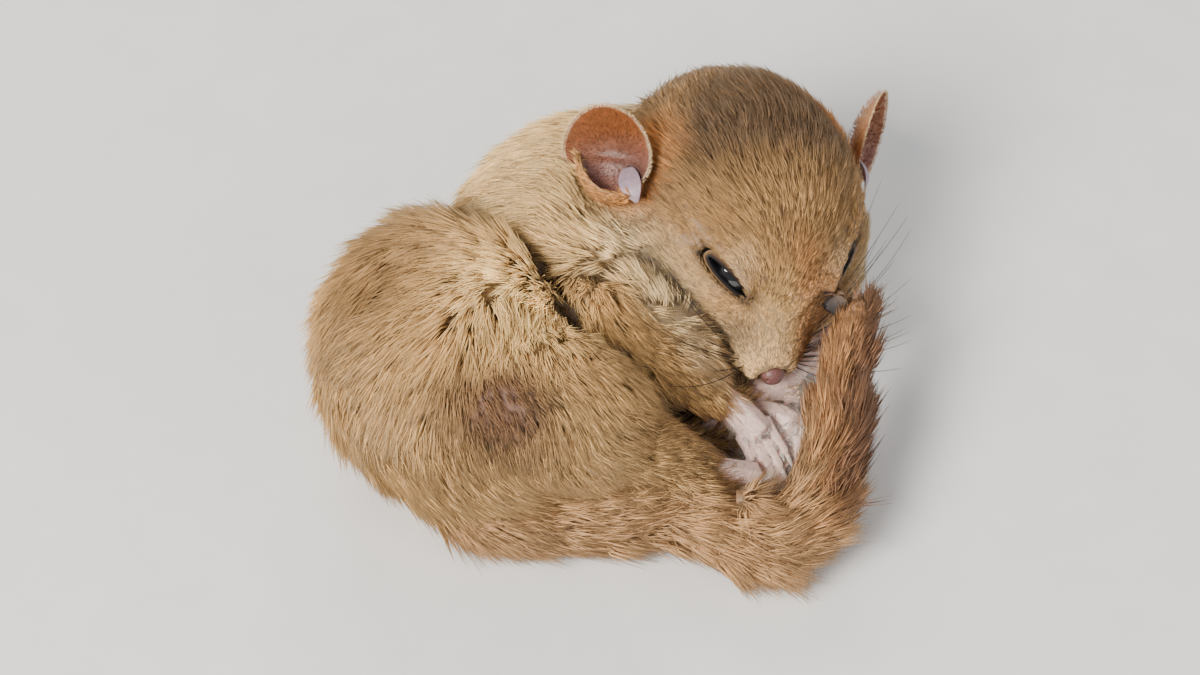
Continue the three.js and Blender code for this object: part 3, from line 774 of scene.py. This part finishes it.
def lay_hairs(tufts, settings, draw):
    """The root, middle and tip of every hair, and its radius at the middle."""
    count, each = len(tufts.root), settings.tuft
    traits, normal = tufts.traits, tufts.normal
    across = unit(np.cross(normal, lie_of_coat(tufts.root)))
    swirl = SWIRL_WAVE * waves(tufts.root, SWIRL_SIZE * MM, 3) + SWIRL * draw.normal(size=count)
    forth = np.cross(across, normal)
    way = unit(forth * np.cos(swirl)[:, None] + across * np.sin(swirl)[:, None])
    across = np.cross(normal, way)
    lift = np.radians(traits[:, LIFT] * (1 + LIFT_WAVE * waves(tufts.root, LIFT_SIZE * MM, 5)))
    lift += TUFT_LIFT * draw.normal(size=count)
    length = traits[:, LENGTH] * MM * (1 + 0.10 * draw.normal(size=count)).clip(0.6, 1.4)
    spread = settings.tuft_spread * np.sqrt(np.clip(traits[:, LENGTH] / 3.5, 0.3, 1.2))
    to_lock = tufts.lock - normal * (tufts.lock * normal).sum(1)[:, None]
    to_lock *= traits[:, LOCK][:, None]

    # From here on an array's second axis is the hairs of a tuft
    round_the_root = draw.uniform(0, 2 * math.pi, (count, each))
    off = np.sqrt(draw.uniform(0, 1, (count, each))) * spread[:, None]

    def in_skin(angle):
        return np.cos(angle)[..., None] * way[:, None] + np.sin(angle)[..., None] * across[:, None]

    offset = in_skin(round_the_root) * off[..., None]
    hair_lift = lift[:, None] + HAIR_LIFT * draw.normal(size=(count, each))
    heading = in_skin(HAIR_TURN * draw.normal(size=(count, each)))
    hair_length = length[:, None] * draw.uniform(0.7, 1.12, (count, each))
    drawn_in = to_lock[:, None] - offset * traits[:, CLUMP][:, None, None]

    def leaning(angle):
        return heading * np.cos(angle)[..., None] + np.sin(angle)[..., None] * normal[:, None]

    start = tufts.root[:, None] + offset - normal[:, None] * ROOTED
    middle = start + leaning(hair_lift * ROOT_RISE) * MIDDLE_AT * hair_length[..., None]
    middle += 0.3 * drawn_in
    tip = middle + leaning(hair_lift * TIP_RISE) * (1 - MIDDLE_AT) * hair_length[..., None]
    tip += 0.7 * drawn_in
    tip[..., 2] -= 0.03 * hair_length
    start, middle, tip = (place.reshape(-1, 3) for place in (start, middle, tip))
    middle[:, 2] = np.maximum(middle[:, 2], 0.1 * MM)
    tip[:, 2] = np.maximum(tip[:, 2], 0.08 * MM)
    width = settings.hair_width * np.clip(traits[:, LENGTH] / 3.6, 0.5, 1.1)
    return start, middle, tip, np.repeat(width / 2, each) * draw.uniform(0.75, 1.2, count * each)


def hair_colours(tufts, settings, draw):
    """Dark wool at the roots, then the marking, hair by hair lighter or darker."""
    count, each = len(tufts.root), settings.tuft
    tone = 1 + 0.07 * draw.normal(size=(count, 1)) + 0.15 * draw.normal(size=(count, each))
    tone = tone * (1 + 0.09 * waves(tufts.root, 5 * MM, 9))[:, None]
    dusky = draw.uniform(size=(count, each)) < DUSKY_HAIRS
    tone = np.where(dusky, tone * DUSKY_TONE, tone).clip(0.3, 1.6).reshape(-1, 1, 1)
    base = np.repeat(tufts.traits[:, COLOUR], each, axis=0)[:, None]
    woolly = np.clip(np.repeat(tufts.traits[:, LENGTH], each) / 3, 0.3, 1)[:, None, None]
    wool = np.array([0.8, 0.14, 0.14, 0.14, 0.0])[None, :, None] * woolly
    to_the_tip = np.array([0.9, 1.0, 1.0, 1.0, 1.12])[None, :, None]
    return (blend(base * tone, np.array(settings.under_coat), wool) * to_the_tip).reshape(-1, 3)


def coat_material():
    return painted_material(
        "coat hair", 0.48, (3500, 0.15, 0.03 * MM), (0.9, 1.1),
        Sheen_Weight=0.12, Sheen_Roughness=0.4, Sheen_Tint=(0.9, 0.7, 0.5, 1), Specular_IOR_Level=0.3,
    )


def hair_piece(name, tufts, settings, draw):
    points, triangles = spindles(*lay_hairs(tufts, settings, draw))
    points[:, 2] = np.maximum(points[:, 2], 0.03 * MM)
    mesh = mesh_of(name, points, triangles)
    set_attribute(mesh, "coat", hair_colours(tufts, settings, draw))
    lay_map(mesh, tufts.patch, settings.tuft, triangles)
    return new_object(name, mesh, coat_material())


def lay_map(mesh, patches, each, triangles):
    """The map for baking: a tuft is one small patch at its root's place on the unwrap."""
    patch_size = 0.003
    along = np.array([0, 0.5, 0.5, 0.5, 1.0])
    beside = (np.arange(len(patches) * each) % each + 0.5) / each
    local = np.stack(np.broadcast_arrays(
        beside[:, None] + np.array([0, -0.06, 0, 0.06, 0]), along[None]
    ), axis=-1)
    place = np.repeat(patches, each, axis=0)[:, None] + (local - 0.5) * patch_size
    by_vertex = place.reshape(-1, 2)
    layer = mesh.uv_layers.new(name="OFBake")
    layer.data.foreach_set("uv", by_vertex[triangles.ravel()].astype(np.float32).ravel())


# Eyes


def build_eye(side_name, settings):
    side = SIDES[side_name]
    node = f"eye_{side_name}"
    ball = bmesh.new()
    bmesh.ops.create_uvsphere(ball, u_segments=64, v_segments=40, radius=EYE_RADIUS * MM)
    longer = head_way(SLIT_WAY, side)
    for vertex in ball.verts:
        vertex.co += longer * (EYE_STRETCH * vertex.co.dot(longer))
    bmesh.ops.translate(ball, verts=ball.verts, vec=middle_of(node))
    mesh = bpy.data.meshes.new(node)
    ball.to_mesh(mesh)
    ball.free()
    shade_smooth(mesh)
    name = "eye wet black"
    material = bpy.data.materials.get(name)
    if material is None:
        material, tree, shader = new_material(
            name, settings.eye_black, 0.04, Coat_Weight=1.0, Coat_Roughness=0.02
        )
        add_bump(tree, shader, 900, 0.06, 0.02 * MM)
    piece = new_object(f"{node}_ball", mesh, material)
    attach(piece, "root")
    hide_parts(node)
    build_lids(side_name, side)


# The lids' section, from the ball outward: millimetres out from the slit's edge, above the
# head's surface there, and how much of the black rim's colour there is

LID_SECTION = ((0.0, -0.25, 1), (0.02, 0.0, 1), (0.07, 0.10, 1), (0.16, 0.14, 1), (0.28, 0.10, 0.9))
LID_HEM = (0.6, -0.35)


def fall_of_head(x, y):
    """How high the head's own surface is over the slit's plane, falling towards the muzzle."""
    return -0.05 - 0.28 * x - 0.034 * x * x - 0.17 * y - 0.02 * y * y


def lid_place(x, y, height):
    """A point in the head's frame by its place along and over the slit, from the eye's surface."""
    place = EYE_CENTRE + EYE_OUT * (EYE_RADIUS + EYE_SUNK + height)
    return place + SLIT_WAY * x + LID_UP * y


def lid_edge(angle):
    """A point of the slit's edge, and the way straight out from it."""
    pointed = 1 - 0.35 * math.cos(angle) ** 4
    x, y = SLIT_HALF[0] * math.cos(angle), SLIT_HALF[1] * math.sin(angle) * pointed
    out = Vector((math.cos(angle) / SLIT_HALF[0], math.sin(angle) / SLIT_HALF[1])).normalized()
    return x, y, out


def build_lids(side_name, side):
    """Two lids round the slit, with a black moist rim, fuller over the eye."""
    turns = 96
    rim, fur_brown = Vector((0.012, 0.010, 0.011)), Vector((0.30, 0.18, 0.09))
    sections = (*LID_SECTION, (*LID_HEM, 0))
    points, colours = [], []
    for beyond, above, black in sections:
        for turn in range(turns):
            angle = 2 * math.pi * turn / turns
            edge_x, edge_y, out = lid_edge(angle)
            x, y = edge_x + out.x * beyond, edge_y + out.y * beyond
            if beyond == 0.0:
                inside = max(0.0, 1 - (x / (EYE_RADIUS * (1 + EYE_STRETCH))) ** 2 - (y / EYE_RADIUS) ** 2)
                height = EYE_RADIUS * math.sqrt(inside) - EYE_RADIUS - EYE_SUNK - 0.05
            else:
                full = 1 + 0.35 * max(0.0, math.sin(angle)) - 0.3 * math.cos(angle) ** 2
                height = fall_of_head(x, y) + above * (full if above > 0 else 1)
            points.append(on_head(lid_place(x, y, height), side))
            colours.append(fur_brown.lerp(rim, black))
    faces = ring_faces(len(sections) - 1, turns)
    mesh = mesh_of("lids", points, turned_over(faces) if side > 0 else faces)
    set_attribute(mesh, "coat", np.array(colours))
    material = painted_material("lid skin", 0.5, (4200, 0.35, 0.05 * MM), Specular_IOR_Level=0.15)
    piece = new_object(f"lids_{side_name}", mesh, material)
    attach(piece, "root")


# Ears

EAR_RADIUS = 4.05
EAR_CUP = 1.6
EAR_WALL = 0.34
EAR_UP = (EAR_TOP - EAR_FACES * EAR_TOP.dot(EAR_FACES)).normalized()
EAR_BESIDE = EAR_FACES.cross(EAR_UP)


def ear_place(up, beside, out, side):
    """A point in millimetres from the middle of a cup."""
    return on_head(EAR_AT + EAR_UP * up + EAR_BESIDE * beside + EAR_FACES * out, side)


def ear_surface(x, y, face):
    """Up, beside and out of a point of the cup, where x and y are shares of its radius."""
    spread = math.hypot(x, y)
    turn = math.atan2(y, x)
    uneven = 0.025 * math.sin(3 * turn + 0.6)
    outline = EAR_RADIUS * (1 + uneven + 0.05 * max(0.0, x) - 0.03 * abs(y))
    bowl = EAR_CUP * (spread**2 - 1) - 0.8 * max(0.0, -x) * (1 - spread**2)
    folds = 0.16 * math.sin(5 * y + 1) * spread * (1 - spread)
    folds += 0.22 * math.exp(-(((x + 0.25 + 0.3 * y) / 0.10) ** 2)) * (1 - spread)
    lip = EAR_WALL / 2 * math.sqrt(max(0.0, 1 - spread**6))
    return x * outline, y * outline, bowl + folds + face * lip


def ear_colour(x, y, face):
    spread = math.hypot(x, y)
    if face < 0:
        return Vector((0.36, 0.17, 0.07))
    low = max(0.0, min(1.0, 0.45 - 1.3 * x))
    tone = Vector((0.20, 0.062, 0.016)).lerp(Vector((0.21, 0.085, 0.06)), low)
    tone = tone * (0.75 + 0.35 * spread)
    # Painted shadow in a hollow of the cup, low on one side
    hollow = math.exp(-(((x + 0.70) / 0.28) ** 2 + ((y - 0.42) / 0.30) ** 2))
    tone = tone.lerp(Vector((0.03, 0.015, 0.015)), 0.85 * hollow)
    return tone.lerp(Vector((0.78, 0.60, 0.40)), max(0.0, spread - 0.955) * 18)


def build_ear(side_name, settings):
    """A thin cup with a pale rim and folds, a lobe beside its opening, and fine down."""
    side = SIDES[side_name]
    rings, around = 34, 84
    points, colours = [], []
    for face in (1, -1):
        for ring in range(rings + 1):
            spread = math.sin(math.pi / 2 * ring / rings)
            for turn in range(around):
                angle = 2 * math.pi * turn / around
                x, y = spread * math.cos(angle), spread * math.sin(angle)
                points.append(ear_place(*ear_surface(x, y, face), side))
                colours.append(ear_colour(x, y, face))
    back = ring_faces(rings, around, first=(rings + 1) * around)
    faces = ring_faces(rings, around) + turned_over(back)
    mesh = mesh_of("ear", points, turned_over(faces) if side < 0 else faces)
    set_attribute(mesh, "coat", np.array(colours))
    weld(mesh)
    material = painted_material(
        "ear skin", 0.5, (1800, 0.4, 0.1 * MM), (0.75, 1.25),
        Subsurface_Weight=0.25, Subsurface_Scale=0.3 * MM,
    )
    piece = new_object(f"ear_{side_name}_cup", mesh, material)
    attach(piece, "root")
    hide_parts(f"ear_{side_name}")
    build_ear_root(side_name, side, material)
    build_lobe(side_name, side)
    build_ear_down(side_name, side, settings)


EAR_ROOT = ((-1.6, 0.1, -2.3), (-2.0, 0.4, -2.9), (-2.8, 0.9, -3.4), (-3.8, 1.5, -3.9), (-5.2, 2.4, -4.6))


def build_ear_root(side_name, side, material):
    """The short stalk that joins the back of the cup to the head."""
    path = np.array([[ear_place(*point, side) for point in EAR_ROOT]])
    radii = np.array([[0.5, 1.1, 1.5, 1.8]]) * MM
    points, triangles = tapered_tubes(path, radii, 20)
    mesh = mesh_of("root", points, triangles)
    brown = (0.34, 0.17, 0.07)
    set_attribute(mesh, "coat", np.tile(brown, (len(points), 1)))
    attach(new_object(f"ear_{side_name}_root", mesh, material), "root")


def weld(mesh):
    welded = bmesh.new()
    welded.from_mesh(mesh)
    bmesh.ops.remove_doubles(welded, verts=welded.verts, dist=0.003 * MM)
    bmesh.ops.recalc_face_normals(welded, faces=welded.faces)
    welded.to_mesh(mesh)
    welded.free()


LOBE_LILAC = (0.30, 0.215, 0.255)


def build_lobe(side_name, side):
    """A small pale pointed flap that stands in front of the opening of the ear."""
    start, end = Vector((-1.9, 1.2, -1.0)), Vector((-5.0, 1.7, 1.0))
    rows, around = 18, 24
    points = []
    for row in range(rows + 1):
        t = row / rows
        half = 1.05 * math.sin(math.pi * t ** 0.7) ** 0.8 if 0 < row < rows else 0.0
        middle = start.lerp(end, t)
        for turn in range(around):
            angle = 2 * math.pi * turn / around
            y = half * math.cos(angle)
            z = 0.22 * half * math.sin(angle) + 0.25 * y * y + 0.5 * math.sin(math.pi * t)
            points.append(ear_place(middle.x, middle.y + y, middle.z + z, side))
    mesh = mesh_of("lobe", points, ring_faces(rows, around))
    weld(mesh)
    material = grained_material(
        "lobe skin", LOBE_LILAC, 0.45, (2400, 0.3, 0.06 * MM), (0.8, 1.15),
        Subsurface_Weight=0.2, Subsurface_Scale=0.3 * MM,
    )
    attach(new_object(f"ear_{side_name}_lobe", mesh, material), "root")


def build_ear_down(side_name, side, settings):
    """Fine down over the cup, and a pale fringe along its rim."""
    draw = np.random.default_rng(settings.seed + 5)
    down, fringe = 2600, 900
    roots, middles, tips, colours = [], [], [], []
    for hair in range(down + fringe):
        on_rim = hair >= down
        spread = 0.985 if on_rim else math.sqrt(draw.uniform(0.02, 0.96))
        angle = draw.uniform(0, 2 * math.pi)
        x, y = spread * math.cos(angle), spread * math.sin(angle)
        face = 1 if on_rim or draw.uniform() < 0.7 else -1
        root = Vector(ear_surface(x, y, face))
        outward = Vector((x, y, 0)).normalized() * (0.9 if on_rim else 0.55)
        way = outward + Vector((0.45, 0, 0.35 * face))
        way = (way + Vector(draw.normal(0, 0.18, 3))).normalized()
        length = draw.uniform(0.35, 0.7) * (0.8 if on_rim else 1)
        bend = Vector((0, 0, 0.12 * face)) * length
        roots.append(ear_place(*root, side))
        middles.append(ear_place(*(root + way * (0.45 * length) + bend), side))
        tips.append(ear_place(*(root + way * length), side))
        tone = Vector((0.80, 0.58, 0.33)) if on_rim else ear_colour(x, y, face) * 1.5
        colours.append(tone * draw.uniform(0.7, 1.25))
    radius = np.full(len(roots), 0.022 * MM)
    points, triangles = spindles(*(np.array(places) for places in (roots, middles, tips)), radius)
    mesh = mesh_of("down", points, triangles)
    set_attribute(mesh, "coat", np.repeat(np.array(colours), 5, axis=0))
    centre = np.array(roots).mean(0)
    lay_map(mesh, (np.array(roots) - centre)[:, :2] / (12 * MM) * 0.2 + 0.9, 1, triangles)
    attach(new_object(f"coat_ear_{side_name}", mesh, coat_material()), "root")


# Paws, nose, claws and whiskers


def fine_skin(nodes, fuse, voxel, rounds):
    """The nodes' solids as one finely divided, softened mesh."""
    mesh = fused_flesh(nodes, fuse, voxel)
    edges = read(mesh.edges, "vertices", 2, np.int32)
    move_vertices(mesh, smoothed(read(mesh.vertices, "co", 3), edges, rounds))
    shade_smooth(mesh)
    return mesh


def build_paws():
    """Bare pink toes and palms under the thin white fur."""
    material = grained_material(
        "paw skin", (0.80, 0.57, 0.50), 0.55, (3800, 0.5, 0.08 * MM), (0.8, 1.15),
        Subsurface_Weight=0.2, Subsurface_Scale=0.4 * MM,
    )
    mesh = fine_skin(PAW_NODES, 0.02 * MM, 0.13 * MM, 3)
    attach(new_object("paws", mesh, material), "root")


def build_nose():
    mauve = (0.17, 0.072, 0.064)
    material = grained_material(
        "nose skin", mauve, 0.5, (5200, 0.6, 0.06 * MM), (0.75, 1.25),
        Subsurface_Weight=0.1, Subsurface_Scale=0.3 * MM, Coat_Weight=0.1,
    )
    mesh = fine_skin(["nose"], 0.03 * MM, 0.07 * MM, 4)
    piece = new_object("nose_pad", mesh, material)
    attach(piece, "root")
    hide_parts("nose")


def build_claws(settings):
    """A small hooked claw on every toe."""
    paths = []
    for paw in PAWS.values():
        knuckles, tip, spread = Vector(paw.knuckles), Vector(paw.tip), Vector(paw.spread)
        reach = tip - knuckles
        for toe in range(paw.toes):
            offset = toe / (paw.toes - 1) - 0.5
            end = knuckles + spread * offset + reach * (1 - 0.9 * offset * offset)
            way = reach.normalized()
            path = []
            for k in range(5):
                hooked = Vector((0, 0, 0.12 - 0.35 * (k / 4) ** 2))
                path.append(placed(*(end + way * (0.5 + 0.38 * k) + hooked)))
            paths.append(path)
    radii = np.array([0.26, 0.24, 0.18, 0.1]) * MM
    points, triangles = tapered_tubes(np.array(paths), np.tile(radii, (len(paths), 1)), 8)
    points[:, 2] = np.maximum(points[:, 2], 0.02 * MM)
    material = grained_material(
        "claw horn", settings.claw, 0.35, (2600, 0.2, 0.03 * MM), (0.8, 1.15), stretch=(1, 1, 3),
        Subsurface_Weight=0.1, Subsurface_Scale=0.3 * MM,
    )
    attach(new_object("claws", mesh_of("claws", points, triangles), material), "root")


# Whiskers: rows from the top of the pad down, each with how far its hairs rise, how they sag,
# their colour, and the shortest and longest in millimetres

WhiskerRow = namedtuple("WhiskerRow", "below rise sag tone shortest longest")
WHISKER_ROWS = (
    WhiskerRow(-1.1, 0.45, -0.15, "dark", 11, 15),
    WhiskerRow(-0.5, 0.15, -0.22, "dark", 11, 15),
    WhiskerRow(0.1, -0.10, -0.28, "dark", 9, 13),
    WhiskerRow(0.9, -0.85, -0.45, "pale", 7, 11),
    WhiskerRow(1.6, -1.30, -0.50, "pale", 6, 9),
)
OVER_THE_TAIL = Vector((0.3, -0.25, 0.6))
WHISKERS_END = 28.0 * MM  # none reaches further than this on the side of the brow


def whisker(row, place, side, draw):
    """Fourteen points of a whisker that sags, and that ends before it reaches too far."""
    root = WHISKER_PAD + Vector((-0.62 * place, 0.36 * place, -row.below))
    way = Vector((0.15 - 0.22 * place, 1.0, row.rise)) + Vector(draw.normal(0, 0.12, 3))
    if side > 0:
        way += OVER_THE_TAIL
    sag = Vector((-0.55, 0.0, row.sag)) + Vector(draw.normal(0, 0.1, 3))
    length = draw.uniform(row.shortest, row.longest)
    way.normalize()
    start = on_head(root, side).x
    reach = on_head(root + (way + sag * 0.5) * length, side).x - start
    length *= min(1.0, (WHISKERS_END - start) / max(reach, MM))
    return [on_head(root + (way * k + sag * k * k * 0.5) * length, side) for k in np.linspace(0, 1, 14)]


def build_whiskers(settings):
    """Dark whiskers above and pale ones below, in rows on either side of the muzzle."""
    draw = np.random.default_rng(settings.seed + 1)
    to_a_row = 6
    for tone in ("dark", "pale"):
        rows = [row for row in WHISKER_ROWS if row.tone == tone]
        paths = np.array([
            whisker(row, place, side, draw)
            for side in SIDES.values() for row in rows for place in range(to_a_row)
        ])
        paths[:, :, 2] = np.maximum(paths[:, :, 2], 0.3 * MM)
        radii = np.linspace(0.06, 0.02, 13) * MM
        points, triangles = tapered_tubes(paths, np.tile(radii, (len(paths), 1)), 5)
        colour = settings.whisker_dark if tone == "dark" else settings.whisker_pale
        material, tree, shader = new_material(f"{tone} whisker", colour, 0.35)
        add_bump(tree, shader, 1500, 0.1, 0.01 * MM)
        piece = new_object(f"whiskers_{tone}", mesh_of("whiskers", points, triangles), material)
        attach(piece, "root")


# Stage

# Each lamp's place in metres, its power in watts, its size in metres and its colour

LAMPS = {
    "key": ((-0.30, -0.38, 0.44), 8.2, 0.28, (1.0, 0.96, 0.90)),
    "fill": ((0.45, -0.45, 0.32), 1.8, 0.55, (0.95, 0.97, 1.0)),
    "back": ((-0.05, 0.50, 0.40), 1.6, 0.35, (1.0, 0.98, 0.95)),
}
LIT_PLACE = (2, 6, 10)
ROOM_LIGHT, ROOM_COLOUR = 0.4, (0.93, 0.95, 1.0, 1)


def build_stage(settings):
    add_floor(settings)
    for name, (place, power, size, colour) in LAMPS.items():
        light = bpy.data.lights.new(name, "AREA")
        light.energy, light.size, light.color = power, size, colour
        lamp = bpy.data.objects.new(name, light)
        lamp.location = place
        lamp.rotation_euler = (placed(*LIT_PLACE) - lamp.location).to_track_quat("-Z", "Y").to_euler()
        bpy.context.scene.collection.objects.link(lamp)
    world = bpy.data.worlds.new("soft room")
    world.use_nodes = True
    background = world.node_tree.nodes["Background"]
    background.inputs["Color"].default_value = ROOM_COLOUR
    background.inputs["Strength"].default_value = ROOM_LIGHT
    bpy.context.scene.world = world
    add_camera()


def add_floor(settings):
    half = 1.6
    corners = [(-half, -half, 0), (half, -half, 0), (half, half, 0), (-half, half, 0)]
    mesh = mesh_of("floor", corners, [(0, 1, 2), (0, 2, 3)], smooth=False)
    mesh.materials.append(
        grained_material("pale floor", settings.floor, 0.75, (160, 0.05, 0.3 * MM), (0.97, 1.02))
    )
    floor = bpy.data.objects.new("floor", mesh)
    bpy.context.scene.collection.objects.link(floor)


def add_camera():
    """Looks down on the animal from in front of it, with the whole frame 109 mm wide there."""
    elevation = math.radians(50)
    distance = 0.42
    frame_width = 0.1091
    camera = bpy.data.cameras.new("camera")
    camera.lens = camera.sensor_width * distance / frame_width
    camera.clip_start = 0.01
    eye = bpy.data.objects.new("camera", camera)
    back = Vector((0, -math.cos(elevation), math.sin(elevation)))
    eye.location = placed(0, 6.2, 9.1) + back * distance
    eye.rotation_euler = back.to_track_quat("Z", "Y").to_euler()
    bpy.context.scene.collection.objects.link(eye)
    bpy.context.scene.camera = eye


# Operators


class DORMOUSE_OT_skin_and_coat(bpy.types.Operator):
    """Build the one skin under the coat, then the coat's tufts on it"""

    bl_idname = "dormouse.skin_and_coat"
    bl_label = "Skin and Coat"

    def execute(self, context):
        settings = context.scene.dormouse
        grow_coat(build_skin(settings), settings)
        return {"FINISHED"}


class DORMOUSE_OT_eyes(bpy.types.Operator):
    """Build both eyes with the rims of their lids"""

    bl_idname = "dormouse.eyes"
    bl_label = "Eyes"

    def execute(self, context):
        for side_name in SIDES:
            build_eye(side_name, context.scene.dormouse)
        return {"FINISHED"}


class DORMOUSE_OT_ears(bpy.types.Operator):
    """Build both ears"""

    bl_idname = "dormouse.ears"
    bl_label = "Ears"

    def execute(self, context):
        for side_name in SIDES:
            build_ear(side_name, context.scene.dormouse)
        return {"FINISHED"}


class DORMOUSE_OT_nose_and_paws(bpy.types.Operator):
    """Build the nose pad and the bare skin of the paws"""

    bl_idname = "dormouse.nose_and_paws"
    bl_label = "Nose and Paws"

    def execute(self, context):
        build_nose()
        build_paws()
        return {"FINISHED"}


class DORMOUSE_OT_claws(bpy.types.Operator):
    """Build the claws of all four paws"""

    bl_idname = "dormouse.claws"
    bl_label = "Claws"

    def execute(self, context):
        build_claws(context.scene.dormouse)
        return {"FINISHED"}


class DORMOUSE_OT_whiskers(bpy.types.Operator):
    """Build the whiskers"""

    bl_idname = "dormouse.whiskers"
    bl_label = "Whiskers"

    def execute(self, context):
        build_whiskers(context.scene.dormouse)
        return {"FINISHED"}


class DORMOUSE_OT_stage(bpy.types.Operator):
    """Build the floor, the lights and the camera"""

    bl_idname = "dormouse.stage"
    bl_label = "Stage"

    def execute(self, context):
        build_stage(context.scene.dormouse)
        return {"FINISHED"}


class DORMOUSE_PT_panel(bpy.types.Panel):
    """Sizes, colours and the steps that build the animal"""

    bl_idname = "DORMOUSE_PT_panel"
    bl_label = "Dormouse"
    bl_space_type = "VIEW_3D"
    bl_region_type = "UI"
    bl_category = "Dormouse"

    def draw(self, context):
        for key in DormouseSettings.__annotations__:
            self.layout.prop(context.scene.dormouse, key)
        for operator in OPERATORS:
            self.layout.operator(operator.bl_idname)


OPERATORS = (
    DORMOUSE_OT_stage,
    DORMOUSE_OT_skin_and_coat,
    DORMOUSE_OT_eyes,
    DORMOUSE_OT_ears,
    DORMOUSE_OT_nose_and_paws,
    DORMOUSE_OT_claws,
    DORMOUSE_OT_whiskers,
)
CLASSES = (DormouseSettings, *OPERATORS, DORMOUSE_PT_panel)


def register():
    for entry in CLASSES:
        bpy.utils.register_class(entry)
    bpy.types.Scene.dormouse = PointerProperty(type=DormouseSettings)


def unregister():
    del bpy.types.Scene.dormouse
    for entry in reversed(CLASSES):
        bpy.utils.unregister_class(entry)


def main():
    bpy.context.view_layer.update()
    register()
    bpy.ops.dormouse.stage()
    bpy.ops.dormouse.skin_and_coat()
    bpy.ops.dormouse.eyes()
    bpy.ops.dormouse.ears()
    bpy.ops.dormouse.nose_and_paws()
    bpy.ops.dormouse.claws()
    bpy.ops.dormouse.whiskers()


if __name__ == "__main__":
    main()
